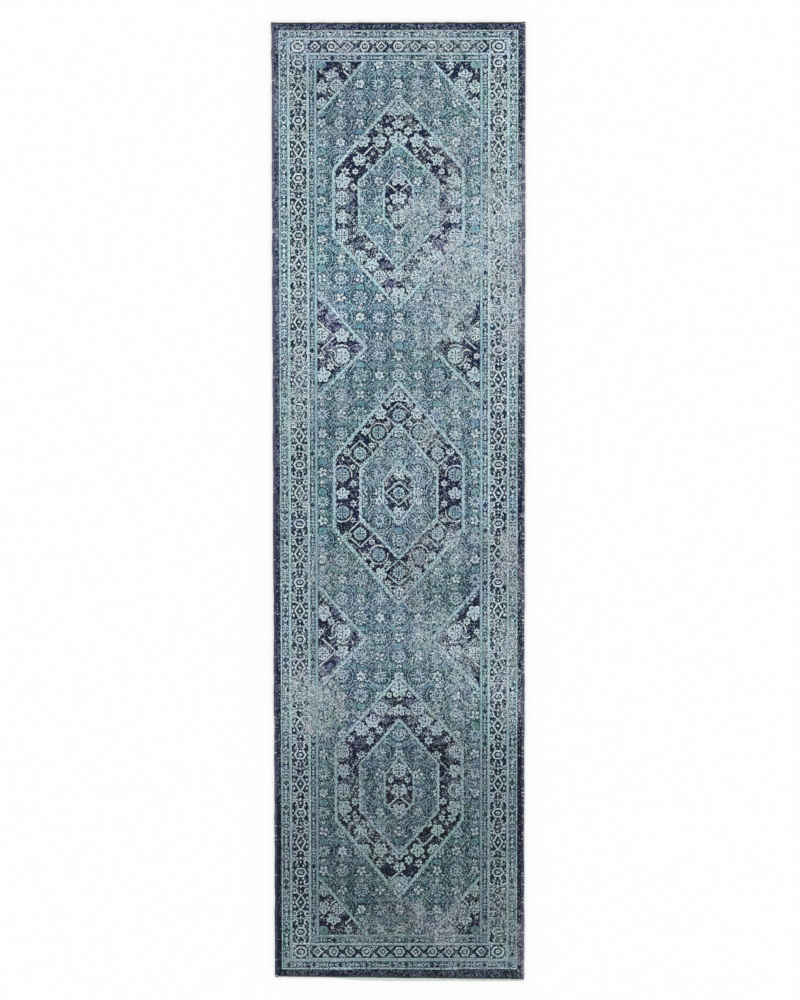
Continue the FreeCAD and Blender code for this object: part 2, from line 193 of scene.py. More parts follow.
# ---- the all-over flowers of the field: rows every 61 mm, columns every 59.5 mm
def field_rosette(u, v, seed=0, face=IGRD):
    """A round lace flower inside a dark ring. The seed turns it and picks how its rings are filled."""
    r = 21.5
    turn = (seed * 37) % 45
    ell(u, v, r + 5.0, r + 5.0, INK, inner=3.1)
    ell(u, v, r + 1.2, r + 1.2, face)
    plan = (((13, 0.95, 2.8, INK, 15), (11, 0.74, 2.6, PALE, 0), (7, 0.56, 2.8, INK, 22), (5, 0.26, 2.5, PALE, 0)),
            ((9, 0.92, 3.2, INK, 0), (9, 0.90, 2.4, PALE, 20), (9, 0.62, 2.4, PALE, 0), (9, 0.56, 2.5, INK, 20), (4, 0.25, 2.4, INK, 0)),
            ((15, 0.97, 2.4, INK, 0), (10, 0.78, 2.6, INK, 18), (10, 0.76, 2.0, PALE, 0), (6, 0.48, 2.8, PALE, 0), (3, 0.22, 2.6, INK, 0)))[seed % 3]
    for n, q, d, ink, ph in plan:
        for k in range(n):
            a = math.radians(360 / n * k + ph + turn)
            ell(u + q * r * math.cos(a), v + q * r * math.sin(a), d * 1.15, d * 0.85, ink, turn=360 / n * k + ph + turn + 90)
    if seed % 2:
        arc(u, v, r * 0.62, turn, turn + 200, 2.4, INK)
    ell(u, v, 2.2, 2.2, INK)


def field_star(u, v, seed):
    n = (5, 6, 4)[seed % 3]
    r = 15.5
    petals(u, v, r + 3.4, n, INK, fat=0.40, phase=90 + 17 * (seed % 5), reach=0.56)
    petals(u, v, r, n, PALE, fat=0.30, phase=90 + 17 * (seed % 5), reach=0.58)
    ell(u, v, 4.6, 4.6, INK)
    ell(u, v, 2.0, 2.0, PALE)


def curl(u, v, r, a, way):
    arc(u, v, r + 1.2, a, a + way * 250, 3.9, INK)
    ell(u, v, 2.6, 2.6, INK)


def draw_field(v_from, v_to, middle):
    k = 0
    v = 134.0
    rows = []
    while v < middle:
        rows.append((v, k))
        v += 61.0
        k += 1
    rows += [(2 * middle - r, kk) for r, kk in rows]
    rng = np.random.default_rng(11)
    for v, k in rows:
        way = 1 if v < middle else -1
        for c in range(0, 5):
            u = 59.5 * c
            rose = (c + k) % 2 == 0
            # sweeping leaves round each big flower, a curl on every stem
            if rose:
                for side in (-1, 1):
                    for rr in (30.2, 38.2):
                        arc(u, v, rr, 90 - side * 38 - 8, 90 - side * 148, 3.8, INK)
                    arc(u, v, 34.2, 90 - side * 45, 90 - side * 138, 3.4, TEAL)
            else:
                for q in range(4):
                    a = math.radians(45 + 90 * q)
                    curl(u + 24 * math.cos(a), v + 24 * math.sin(a), 5.6, 45 + 90 * q + 20 * (k % 3), 1 if q % 2 else -1)
                for side in (-1, 1):
                    stroke([(u + side * 17, v - 4), (u + side * 24, v + 3), (u + side * 32, v - 2)], 3.8, INK)
                    stroke([(u + side * 14, v + 12), (u + side * 22, v + 17), (u + side * 27, v + 12)], 3.0, LINE)
    for v, k in rows:
        way = 1 if v < middle else -1
        for c in range(0, 5):
            u = 59.5 * c
            if (c + k) % 2 == 0:
                field_rosette(u, v, c * 5 + k * 3)
            else:
                field_star(u, v, c * 3 + k)
            if c % 2 == 0:
                vd = v + way * 30.5
                if (c // 2 + k) % 2 == 0:
                    ell(u, vd, 16.5, 14.5, INK)
                    ell(u, vd - way * 0.8, 13.4, 11.6, DISC if (c + 2 * k) % 3 else DISC2)
                else:
                    ell(u, vd, 9.5, 8.5, INK, inner=2.4)
                    ell(u, vd, 7.0, 6.0, PALE)
                    ell(u, vd, 2.2, 2.2, INK)
            else:
                vd = v + way * 30.5
                petals(u, vd, 10.5, 4, INK, fat=0.34, phase=45)
                petals(u, vd, 8.6, 4, LINE, fat=0.22, phase=45)
    # small sprigs and seeds between the flowers
    for _ in range(700):
        u, v = rng.uniform(0, 250), rng.uniform(v_from, v_to)
        a = rng.uniform(0, 360)
        if rng.random() < 0.5:
            arc(u, v, rng.uniform(3, 7), a, a + rng.uniform(80, 200), 2.2, INK if rng.random() < 0.55 else LINE)
        else:
            ell(u, v, 1.9, 1.9, INK if rng.random() < 0.5 else PALE)


def fill_gaps(ground, pitch, free, draw, seed, keep=0.75, area=None):
    """Puts a small motif wherever a patch of plain ground is left, on a loose grid."""
    g = np.random.default_rng(seed)
    step = int(pitch / RES)
    r = int(free / RES)
    for j in range(r + 1, NV - r - 1, step):
        for i in range(0, NU - r - 1, step):
            jj, ii = j + g.integers(-step // 3, step // 3 + 1), i + g.integers(-step // 3, step // 3 + 1)
            roll = g.random(4)
            jj, ii = min(max(jj, r), NV - r - 1), min(max(ii, 0), NU - r - 1)
            if roll[0] > keep or (area is not None and not area[jj, ii]):
                continue
            if (cv[jj - r:jj + r + 1, max(0, ii - r):ii + r + 1] == ground).all():
                draw((ii + 0.5) * RES, (jj + 0.5) * RES, roll)


def field_seed(u, v, roll):
    a = roll[1] * 360
    ink = INK if roll[2] < 0.66 else (LINE if roll[2] < 0.85 else PALE)
    if roll[3] < 0.6:
        arc(u, v, 4.6 + 2.0 * roll[3], a, a + 110 + 90 * roll[2], 3.6, ink)
    else:
        ell(u, v, 3.6, 2.6, ink, turn=a)


def navy_seed(u, v, roll):
    a = roll[1] * 360
    if roll[3] < 0.45:
        petals(u, v, 6.0, 4, PALE, fat=0.36, phase=a)
        ell(u, v, 1.5, 1.5, NAVY)
    elif roll[3] < 0.8:
        arc(u, v, 4.2, a, a + 170, 3.4, PALE if roll[2] < 0.7 else MAUVE)
    else:
        ell(u, v, 3.6, 2.4, MAUVE, turn=a)


FIELD_V0, FIELD_V1, MID = 127.0, 2862.0, 1491.0
draw_field(FIELD_V0 - 10, FIELD_V1 + 10, MID)
fill_gaps(TEAL, 11.0, 4.6, field_seed, 71, keep=0.55)
field_cv = cv.copy()


def region(pts):
    """A mask of the inside of a polygon."""
    keep = cv.copy()
    cv[:] = 0
    old, clip[0] = clip[0], None
    poly(pts, 1)
    m = cv == 1
    cv[:] = keep
    clip[0] = old
    return m


def outline(pts, closed=True, light=6.2, dark=2.5):
    """A pale line with a thin dark one on each side."""
    p = list(pts) + ([pts[0]] if closed else [])
    stroke(p, light + 2 * dark, INK)
    stroke(p, light, LINE)
    # small steps along both sides, as a slanted line has in a weave
    for (u0, v0), (u1, v1) in zip(p[:-1], p[1:]):
        L = math.hypot(u1 - u0, v1 - v0)
        nu, nv = -(v1 - v0) / L, (u1 - u0) / L
        n = int(L / 9.5)
        for k in range(n):
            t = (k + 0.5) / n
            side = 1 if k % 2 else -1
            ell(u0 + t * (u1 - u0) + side * nu * light * 0.5, v0 + t * (v1 - v0) + side * nv * light * 0.5, 2.9, 2.9, LINE)


def medallion(outer, inner, core, motifs, core_motifs, flip=None):
    """flip maps v so that one list of motifs serves both end medallions."""
    om, im, km = region(outer), region(inner), region(core)
    clip[0] = om
    cv[om] = NAVY
    place(motifs, flip)
    outline(inner, closed=False, light=7.5)
    clip[0] = None
    cv[im] = np.where(field_cv[im] == TEAL, TEAL2, field_cv[im])
    outline(inner, closed=False, light=7.5, dark=1.6)
    clip[0] = km
    cv[km] = NAVY
    place(core_motifs, flip)
    clip[0] = None
    outline(core, closed=False, light=6.5, dark=1.8)
    outline(outer, closed=False, light=9.5, dark=2.2)


def place(motifs, flip=None):
    """flip: (a, b) puts a motif from v at a - b * v, and turns it over."""
    f = (lambda v: v) if flip is None else (lambda v: flip[0] - flip[1] * v)
    s = 1 if flip is None else -1
    for m in motifs:
        kind = m[0]
        if kind == "R":
            _, u, v, r = m[:4]
            if len(m) < 5:
                rosette(u, f(v), r * 1.08, ring=INK, halo=MAUVE)
            else:
                rosette(u, f(v), r * 1.04, ring=NAVY, face=IGRD, lace=NAVY)
                arc(u, f(v), r + 8.6, s * 170, s * 385, 3.3, LITE)
        elif kind == "Q":
            rosette(m[1], f(m[2]), m[3], ring=NAVY, face=MGRD, halo=None)
        elif kind == "P":
            _, u, v, w, h, up = m
            palmette(u, f(v), w * 1.08, h * 1.08, up if s > 0 else 1 - up)
        elif kind == "S":
            star(m[1], f(m[2]), m[3] * 1.15, PALE, NAVY)
        elif kind == "H":
            hook([(u, f(v)) for u, v in m[1]], spine=len(m) > 2)
        elif kind == "L":
            _, u, v, r, a0, a1 = m
            leaf(u, f(v), r, s * a0, s * a1)
        elif kind == "G":        # a patch of paler ground
            poly([(u, f(v)) for u, v in m[1]], m[2])
        elif kind == "D":        # a lozenge frame with a rosette in it
            _, u, v, a, b, r = m
            diamond(u, f(v), a + 3, b + 3, INK)
            diamond(u, f(v), a, b, LINE)
            diamond(u, f(v), a - 5.6, b - 5.6, NAVY)
            rosette(u, f(v), r, ring=NAVY, face=BGRD, halo=None, lace=NAVY)
        elif kind == "W":        # mauve or mid ground blotch
            ell(m[1], f(m[2]), m[3], m[4], m[5])


# end medallions
END = [
    ("G", [(0, 233), (34, 272), (34, 292), (0, 292)], MGRD),
    ("S", 0, 259, 15), ("H", [(27, 284), (0, 307), (-27, 284)]),
    ("P", 0, 322, 30, 26, 1),
    ("S", 29, 343, 12), ("S", 60, 333, 11),
    ("P", 56, 373, 36, 36, 1), ("P", 0, 372, 46, 46, 1),
    ("P", 108, 373, 34, 34, 1), ("H", [(136, 404), (112, 423), (76, 387)]), ("H", [(76, 387), (52, 412)]),
    ("L", 57, 444, 24, 180, 275), ("P", 120, 433, 34, 32, 1),
    ("S", 165, 470, 12), ("S", 133, 470, 9), ("S", 92, 452, 9),
    ("P", 174, 500, 42, 42, 1), ("S", 138, 520, 10),
    ("W", 150, 545, 18, 12, MAUVE), ("R", 175, 553, 21.5), ("L", 150, 556, 12, -60, 60),
    ("W", 148, 585, 16, 9, MAUVE), ("P", 174, 612, 36, 36, 1),
    ("H", [(123, 578), (155, 613), (106, 664)], True),
    ("R", 176, 670, 20), ("L", 176, 670, 31, -50, 60),
    ("W", 128, 700, 22, 9, MAUVE), ("P", 117, 660, 26, 22, 0),
    ("P", 118, 738, 38, 36, 0), ("S", 91, 703, 12), ("S", 150, 708, 10),
    ("P", 82, 762, 38, 36, 0), ("S", 60, 735, 11), ("W", 40, 765, 16, 8, MAUVE),
    ("R", 57, 800, 20), ("P", 0, 795, 38, 30, 0), ("S", 27, 790, 9), ("W", 28, 822, 14, 8, MAUVE),
    ("P", 0, 858, 42, 42, 0), ("S", 30, 842, 8),
]
END_CORE = [
    ("P", 0, 493, 44, 36, 1), ("H", [(30, 510), (0, 535), (-30, 510)]),
    ("P", 0, 553, 42, 34, 1), ("S", 25, 585, 9),
    ("R", 0, 614, 20), ("S", 33, 560, 6),
]
medallion([(0, 233), (201, 464), (201, 672), (0, 897)],
          [(0, 380), (121, 500), (121, 636), (0, 775)],
          [(0, 463), (45, 520), (45, 612), (0, 668)], END, END_CORE)
medallion([(0, 2056), (198, 2276), (198, 2507), (0, 2747)],
          [(0, 2193), (121, 2331), (121, 2477), (0, 2612)],
          [(0, 2307), (45, 2367), (45, 2450), (0, 2501)], END, END_CORE, flip=(2989.5, 1.0407))

# middle medallion, alike both ways about its own middle
HALF = [
    ("H", [(0, 1152), (31, 1190), (-31, 1190)]), ("P", 0, 1176, 28, 28, 1),
    ("D", 0, 1235, 47, 41, 19), ("P", 56, 1228, 32, 36, 1), ("S", 34, 1200, 9), ("S", 84, 1256, 8),
    ("L", 62, 1289, 30, -20, 120), ("R", 62, 1289, 20, 1), ("S", 104, 1286, 12), ("S", 32, 1262, 8),
    ("D", 120, 1355, 46, 43, 20), ("S", 84, 1330, 9), ("S", 152, 1318, 8), ("P", 160, 1352, 22, 22, 1),
    ("L", 175, 1423, 31, -80, 60), ("R", 175, 1423, 20.5, 1), ("S", 141, 1450, 10), ("S", 143, 1398, 8),
]
HALF_CORE = [
    ("P", 0, 1418, 34, 32, 1), ("H", [(0, 1390), (28, 1428)]), ("S", 40, 1452, 7),
]
middle = HALF + [("P", 175, 1481, 36, 32, 1)]
middle_core = HALF_CORE + [("D", 0, 1480, 43, 38, 17.5)]
MM = ([(0, 1134), (201, 1368), (201, 1591), (0, 1828)],
      [(0, 1265), (119, 1408), (119, 1557), (0, 1684)],
      [(0, 1380), (48, 1443), (48, 1510), (0, 1579)])
om, im, km = (region(p) for p in MM)
clip[0] = om
cv[om] = NAVY
place(middle)
place(HALF, flip=(2 * 1481.5, 1.0))
clip[0] = None
cv[im] = np.where(field_cv[im] == TEAL, IGRD, field_cv[im])
outline(MM[1], closed=False, light=7.5, dark=1.8)
clip[0] = km
cv[km] = NAVY
place(middle_core)
place(HALF_CORE, flip=(2 * 1480, 1.0))
clip[0] = None
outline(MM[2], closed=False, light=6.5, dark=1.8)
outline(MM[0], closed=False, light=9.5, dark=2.2)

# half lozenges on the long sides, the second turned over
SIDE = [
    ("W", 232, 905, 15, 12, NAVY), ("L", 190, 945, 26, 150, 290), ("W", 214, 930, 14, 22, MAUVE), ("W", 186, 962, 16, 9, MAUVE),
    ("R", 239, 981, 20), ("H", [(252, 940), (198, 988), (240, 1027)]), ("P", 176, 984, 38, 38, 1),
    ("R", 176, 1049, 23.5), ("L", 176, 1049, 34, -120, 70), ("W", 121, 1022, 15, 13, MAUVE), ("S", 142, 992, 9),
    ("W", 204, 1034, 13, 18, MAUVE), ("L", 212, 1046, 16, 150, 300), ("S", 212, 1082, 11), ("P", 236, 1108, 40, 40, 1),
    ("W", 190, 1112, 15, 10, MAUVE), ("S", 243, 1050, 9),
]
for pts, flip in (([(252, 847), (100, 1023), (252, 1178)], None),
                  ([(252, 1771), (103, 1939), (252, 2098)], (2965.0, 1.0))):
    m = region(pts)
    clip[0] = m
    inset = [(pts[0][0], pts[0][1] + 24), (pts[1][0] + 13, pts[1][1]), (pts[2][0], pts[2][1] - 22)]
    cv[region(inset) & m] = NAVY
    clip[0] = region(inset)
    place(SIDE, flip)
    clip[0] = None
    outline(pts, closed=False, light=9.0, dark=2.0)

# corner pieces
CORNER = [
    ("W", 240, 134, 17, 13, DISC2), ("S", 160, 137, 12), ("P", 207, 168, 38, 30, 1), ("P", 237, 203, 34, 34, 1),
    ("R", 192, 200, 18.5), ("L", 192, 200, 27, 30, 150), ("H", [(240, 214), (204, 248)]), ("P", 237, 255, 32, 30, 1),
    ("H", [(168, 155), (150, 172)]), ("W", 222, 229, 8, 7, MAUVE),
]
for pts, flip in (([(253, 296), (103, 124), (253, 124)], None),
                  ([(253, 2686), (103, 2866), (253, 2866)], (2989.0, 1.02))):
    m = region(pts)
    cv[m] = NAVY
    clip[0] = m
    place(CORNER, flip)
    clip[0] = None
    outline([pts[0], pts[1]], closed=False, light=8.5, dark=2.0)

fill_gaps(NAVY, 12.0, 5.0, navy_seed, 72, keep=0.34)

# ---- borders
E_NAVY, E_LINE1, E_OUT, E_LINE2, E_MAIN, E_LINE3, E_IN, E_LINE4 = 371.5, 367.5, 344.5, 338.5, 283.0, 277.5, 261.0, 252.0


def rect(u0, u1, v0, v1, ink):
    poly([(u0, v0), (u1, v0), (u1, v1), (u0, v1)], ink)


# the same bands down the sides and across both ends: (u limit, head v, foot v, ink)
BANDS = [
    (396.0, -1.0, 3011.0, NAVY), (E_NAVY, 26.5, 2974.5, LINE), (E_LINE1, 30.5, 2970.5, BGRD),
    (E_OUT, 48.0, 2951.5, LINE), (E_LINE2, 52.5, 2946.5, MGRD), (E_MAIN, 101.0, 2896.0, LINE),
    (E_LINE3, 104.5, 2892.5, IGRD), (E_IN, 120.5, 2875.0, LINE), (E_LINE4, 125.5, 2869.5, None),
]
inner_area = np.zeros_like(cv, bool)
sl, U, V = window(0, 400, 0, 3020)
inner_area[sl] = (U < E_LINE4) & (V > 125.5) & (V < 2866.0)
design = cv.copy()
for lim, v0, v1, ink in BANDS:
    if ink is None:
        continue
    m = (U < lim) & (V > v0) & (V < v1)
    cv[sl][m] = ink
cv[inner_area] = design[inner_area]


def frame_line(lim, head, foot, wide, ink):
    """A thin line right round the rug at |x| = lim."""
    stroke([(lim, head), (lim, foot)], wide, ink)
    stroke([(-5, head), (lim, head)], wide, ink)
    stroke([(-5, foot), (lim, foot)], wide, ink)


for lim, head, foot in ((366.6, 31.4, 2969.6), (345.4, 47.2, 2952.4), (277.0, 105.2, 2891.8), (261.8, 119.6, 2876.0),
                        (254.4, 124.6, 2870.6)):
    frame_line(lim, head, foot, 1.9, INK)


def side_eye(u, v):
    """The tall lozenge of the main side border, with a dark heart."""
    diamond(u, v, 18.5, 28.5, LITE)
    diamond(u, v, 12.4, 20.5, INK)
    ell(u, v, 4.0, 3.6, PALE)
    for s in (-1, 1):
        diamond(u + s * 23.5, v, 3.6, 6.5, LITE)
        for q in (-1, 1):
            ell(u + s * 19.5, v + q * 13.5, 3.2, 3.8, LITE)


def side_hex(u, v):
    poly([(u - 20, v), (u - 11, v - 14.5), (u + 11, v - 14.5), (u + 20, v), (u + 11, v + 14.5), (u - 11, v + 14.5)], LITE)
    poly([(u - 13.8, v), (u - 7, v - 9.8), (u + 7, v - 9.8), (u + 13.8, v), (u + 7, v + 9.8), (u - 7, v + 9.8)], INK)
    ell(u, v, 7.0, 4.6, LITE)
    ell(u, v, 2.0, 1.6, INK)
    for s in (-1, 1):
        ell(u + s * 24.5, v + 7.5, 2.4, 3.4, LITE)
        ell(u + s * 24.5, v - 7.5, 2.4, 3.4, LITE)


def side_hooks(u, v, q, f):
    """Between a lozenge and a ring: two pairs of curled hooks about a dark waist. q: which way the ring lies."""
    for s in (-1, 1):
        # near the lozenge: hooks that open outwards
        arc(u + s * 19.5, v - q * 11.5 * f, 6.6, 90 - s * 40, 90 - s * 40 + s * 260, 4.3, LITE)
        ell(u + s * 21.0, v - q * 11.5 * f, 2.2, 2.2, LITE)
        stroke([(u + s * 3.5, v - q * 23 * f), (u + s * 9, v - q * 20 * f), (u + s * 13.5, v - q * 15 * f)], 3.8, LITE)
        # near the ring: hooks that open towards it
        arc(u + s * 18.0, v + q * 13.5 * f, 7.2, (-10 if q > 0 else 10) if s > 0 else (190 if q > 0 else 170),
            ((-10 if q > 0 else 10) if s > 0 else (190 if q > 0 else 170)) + s * (-q) * 235, 4.3, LITE)
        ell(u + s * 8.2, v + q * 24.5 * f, 2.6, 3.2, LITE)
        stroke([(u + s * 6.5, v + q * 4 * f), (u + s * 13, v + q * 1.0 * f), (u + s * 25, v + q * 1.5 * f)], 3.2, LITE)
    diamond(u, v + q * 1.5 * f, 4.2, 5.6, LITE)
    ell(u, v - q * 13.0 * f, 2.4, 3.6, LITE)
    ell(u, v + q * 13.0 * f, 2.2, 3.4, LITE)


clip[0] = np.zeros_like(cv, bool)
clip[0][sl] = (U > E_MAIN + 0.5) & (U < E_LINE2) & (V > 53) & (V < 2946)
rings = [218, 400, 580, 761, 942, 1123, 1301, 1480, 1671, 1850, 2028, 2211, 2393, 2576, 2765]
rings = [38] + rings + [2950]
CB = 310.5
rect(E_MAIN + 1.5, E_LINE2 - 1.0, 104, 2893, INK)
for a, b in zip(rings[:-1], rings[1:]):
    half = (a + b) / 2
    f = (b - a) / 181.0
    side_hex(CB, half)
    for q in (-1, 1):
        side_hooks(CB, half - q * 44 * f, q, f)
for a in rings[1:-1]:
    side_eye(CB, a)


def end_row(vc, head=True):
    clip[0] = np.zeros_like(cv, bool)
    clip[0][sl] = (U < 283) & (V > vc - 22.5) & (V < vc + 22.5)
    rect(-5, 283, vc - 19.5, vc + 19.5, INK)
    for k in range(0, 6):
        u = 51.6 * k
        if k % 2:
            diamond(u, vc, 17.0, 17.0, LITE)
            diamond(u, vc, 11.5, 11.5, INK)
            ell(u, vc, 4.2, 4.0, LITE)
            ell(u, vc, 1.8, 1.6, INK)
        else:
            poly([(u - 15.5, vc), (u - 8.0, vc - 14), (u + 8.0, vc - 14), (u + 15.5, vc), (u + 8.0, vc + 14), (u - 8.0, vc + 14)], LITE)
            ell(u, vc, 10.2, 9.4, INK)
            ell(u, vc, 5.4, 4.8, LITE)
            ell(u, vc, 2.0, 1.8, INK)
    for k in range(-1, 6):
        # a bow between two units, with a spot over and under it
        u = 25.8 + 51.6 * k
        for q in (-1, 1):
            stroke([(u - 7.5, vc + q * 15.5), (u, vc + q * 8.0), (u + 7.5, vc + q * 15.5)], 3.4, LITE)
            ell(u, vc + q * 17.0, 3.0, 2.4, LITE)
    clip[0] = None
    # the corner block
    clip[0] = np.zeros_like(cv, bool)
    clip[0][sl] = (U > 283) & (U < 338) & (V > vc - 24) & (V < vc + 24)
    rect(286, 335, vc - 22, vc + 22, INK)
    ell(311, vc, 20.5, 17.5, LITE)
    ell(311, vc, 14, 11, INK)
    ell(311, vc, 8.0, 6.0, LITE)
    ell(311, vc, 2.6, 2.2, INK)
    for s in (-1, 1):
        for q in (-1, 1):
            ell(311 + s * 20.5, vc + q * 17.5, 4.0, 3.4, LITE)
    clip[0] = None


clip[0] = None
end_row(77.0)
end_row(2920.0, False)


# minor borders: a running line of small rings, bow ties and bars
def small_unit(u, v, k, wide, tall, along):
    """along: the border runs down the rug. wide is across the border, tall along it."""
    def E(p, q, a, b, ink, **kw):
        if along:
            ell(u + p, v + q, a, b, ink, **kw)
        else:
            ell(u + q, v + p, b, a, ink, **kw)

    def T(pts, w, ink):
        stroke([(u + p, v + q) if along else (u + q, v + p) for p, q in pts], w, ink)
    a, b = wide / 2, tall / 2
    kind = k % 4
    if kind == 0:
        E(0, 0, a * 0.92, b * 0.86, INK)
        E(0, 0, a * 0.50, b * 0.46, LITE)
        E(0, 0, 1.8, 1.9, INK)
    elif kind == 1:
        T([(-a * 0.75, -b * 0.6), (a * 0.75, b * 0.6)], 4.0, INK)
        T([(a * 0.75, -b * 0.6), (-a * 0.75, b * 0.6)], 4.0, INK)
        E(0, 0, 2.6, 3.0, LITE)
    elif kind == 2:
        T([(-a * 0.7, -b * 0.8), (-a * 0.7, b * 0.8)], 4.0, INK)
        T([(a * 0.7, -b * 0.8), (a * 0.7, b * 0.8)], 4.0, INK)
        T([(-a * 0.7, 0), (a * 0.7, 0)], 4.0, INK)
        E(0, -b * 0.55, 2.0, 2.4, LITE)
        E(0, b * 0.55, 2.0, 2.4, LITE)
    else:
        T([(0, -b * 0.85), (a * 0.8, 0), (0, b * 0.85), (-a * 0.8, 0), (0, -b * 0.85)], 3.8, INK)
        E(0, 0, 2.6, 2.6, INK)


rng = np.random.default_rng(23)
clip[0] = None
n = 150
for k in range(n):
    v = 52 + k * (2950 - 52) / n
    small_unit(356.0, v, (k * 3 + (rng.random() < 0.3)) % 4, 17.0, 17.5, True)
for k in range(136):
    v = 122 + k * (2874 - 122) / 136
    small_unit(269.3, v, (k * 3 + (rng.random() < 0.3)) % 4, 13.5, 18.0, True)
for vc in (39.2, 2961.2):
    for k in range(-1, 18):
        uu = k * 20.6
        small_unit(uu, vc, (abs(k) * 3) % 4, 13.5, 19.0, False)
for vc in (112.5, 2884.0):
    for k in range(-1, 13):
        small_unit(k * 20.5, vc, (abs(k) * 3 + 1) % 4, 12.5, 19.0, False)

# ---- knots: two drawing points each way make one, and both halves are the same
HALF_INDEX = cv
PALETTE = np.array([
    (20, 32, 62),      # navy
    (18, 51, 71),      # ink: dark slate outlines
    (108, 142, 157),   # teal ground
    (102, 145, 163),   # teal disc
    (176, 203, 212),   # pale line
    (184, 204, 216),   # flowers
    (78, 84, 114),     # mauve
    (160, 187, 200),   # outer minor border's ground
    (162, 188, 201),   # main border's ground
    (185, 206, 218),   # light of the borders
    (134, 163, 178),   # inner minor border's ground
    (104, 148, 155),   # greener disc
    (114, 149, 164),   # teal ground inside the medallions
], float)
# ------------------------------------------------------------------ knots, yarn lots and wear
ROWS, COLS = NV // 2, NU


def value_noise(cell_v, cell_u, seed, rows=ROWS, cols=COLS):
    """Smooth noise in 0..1 whose features are cell_v rows by cell_u columns of knots."""
    g = np.random.default_rng(seed)
    a, b = int(rows / cell_v) + 3, int(cols / cell_u) + 3
    grid = g.random((a, b))
    y, x = np.arange(rows) / cell_v, np.arange(cols) / cell_u
    j, i = y.astype(int), x.astype(int)
    fy, fx = (y - j)[:, None], (x - i)[None, :]
    fy, fx = fy * fy * (3 - 2 * fy), fx * fx * (3 - 2 * fx)
    p = grid[j][:, i] * (1 - fx) + grid[j][:, i + 1] * fx
    q = grid[j + 1][:, i] * (1 - fx) + grid[j + 1][:, i + 1] * fx
    return p * (1 - fy) + q * fy


def fractal(cell_v, cell_u, seed, octaves=3, gain=0.55):
    total, amp, norm = 0.0, 1.0, 0.0
    for o in range(octaves):
        total = total + amp * value_noise(max(1.0, cell_v / 2 ** o), max(1.0, cell_u / 2 ** o), seed + 101 * o)
        norm += amp
        amp *= gain
    return total / norm


def unit(a):
    """Spread a noise field so that its middle 90% fills 0..1."""
    lo, hi = np.percentile(a, 5), np.percentile(a, 95)
    return np.clip((a - lo) / (hi - lo), 0, 1)


def soften(a, k=1.0):
    """A light blur over neighbouring knots."""
    p = np.pad(a, ((1, 1), (1, 1)) + ((0, 0),) * (a.ndim - 2), mode="edge")
    n = (p[:-2, 1:-1] + p[2:, 1:-1] + p[1:-1, :-2] + p[1:-1, 2:]) / 4
    d = (p[:-2, :-2] + p[2:, 2:] + p[2:, :-2] + p[:-2, 2:]) / 4
    return a * (1 - 0.75 * k) + k * (0.5 * n + 0.25 * d)


half_rgb = PALETTE[cv].reshape(ROWS, 2, NU // 2, 2, 3).mean((1, 3))
knot = np.concatenate([half_rgb[:, ::-1], half_rgb], 1)
kind = cv[::2, ::2]
kind = np.concatenate([kind[:, ::-1], kind], 1)
XX = ((np.arange(COLS) + 0.5) * 2.5 - 395.0)[None, :]
VV = ((np.arange(ROWS) + 0.5) * 2.5)[:, None]
BAND = (np.abs(XX) > E_NAVY) | (VV < 26.5) | (VV > 2974.5)
FIELD = (np.abs(XX) < E_LINE4) & (VV > 125.5) & (VV < 2869.5)

# crisper edges: the weaver sets a darker knot beside a light one
knot = knot + 0.85 * (knot - soften(soften(knot)))

# where the rug is most worn: (x, v, half width, half length, strength)
SPOTS = [
    (98, 590, 48, 95, 0.72), (262, 620, 48, 160, 0.60), (175, 600, 50, 90, 0.34), (330, 600, 58, 230, 0.72), (212, 815, 88, 92, 0.80), (60, 760, 80, 120, 0.25),
    (30, 985, 150, 50, 0.26), (200, 900, 90, 120, 0.65), (330, 900, 60, 220, 0.70), (70, 300, 110, 70, 0.20),
    (-60, 280, 60, 60, 0.12), (200, 330, 90, 80, 0.34), (58, 575, 55, 100, 0.74), (100, 1290, 60, 60, 0.50), (160, 1240, 60, 50, 0.40),
    (-200, 1190, 90, 60, 0.35), (-200, 1730, 120, 80, 0.40), (120, 1690, 70, 120, 0.50), (200, 1660, 60, 80, 0.45),
    (110, 1900, 70, 100, 0.46), (0, 1840, 150, 50, 0.22), (330, 1980, 60, 260, 0.55), (220, 1990, 60, 90, 0.55),
    (-215, 2125, 85, 85, 0.90), (175, 2150, 75, 85, 0.42), (120, 2005, 95, 70, 0.35), (330, 1690, 60, 110, 0.78),
    (60, 2450, 90, 70, 0.14), (-90, 2520, 90, 60, 0.20), (-110, 2600, 90, 50, 0.24), (90, 2835, 120, 50, 0.75),
    (-60, 2862, 110, 34, 0.45), (150, 2885, 110, 45, 0.42), (-335, 1110, 45, 210, 0.36), (340, 2790, 60, 160, 0.45), (-80, 60, 160, 60, 0.25),
    (140, 80, 120, 60, 0.35), (-200, 90, 60, 50, 0.25), (330, 200, 60, 200, 0.20), (250, 2960, 160, 50, 0.25),
    (-320, 880, 40, 120, 0.25), (-320, 120, 70, 120, 0.30), (-320, 1990, 60, 110, 0.25), (-330, 680, 50, 80, 0.25),
]
spot = np.zeros((ROWS, COLS))
wob_x = (fractal(30, 30, 301, 3) - 0.5) * 150
wob_v = (fractal(30, 30, 302, 3) - 0.5) * 190
for x, v, a, b, s in SPOTS:
    at = (int(np.argmin(np.abs(VV[:, 0] - v))), int(np.argmin(np.abs(XX[0] - x))))
    d = ((XX + wob_x - wob_x[at] - x) / a) ** 2 + ((VV + wob_v - wob_v[at] - v) / b) ** 2
    spot = np.maximum(spot, s * np.clip(1.3 - d, 0, 1))
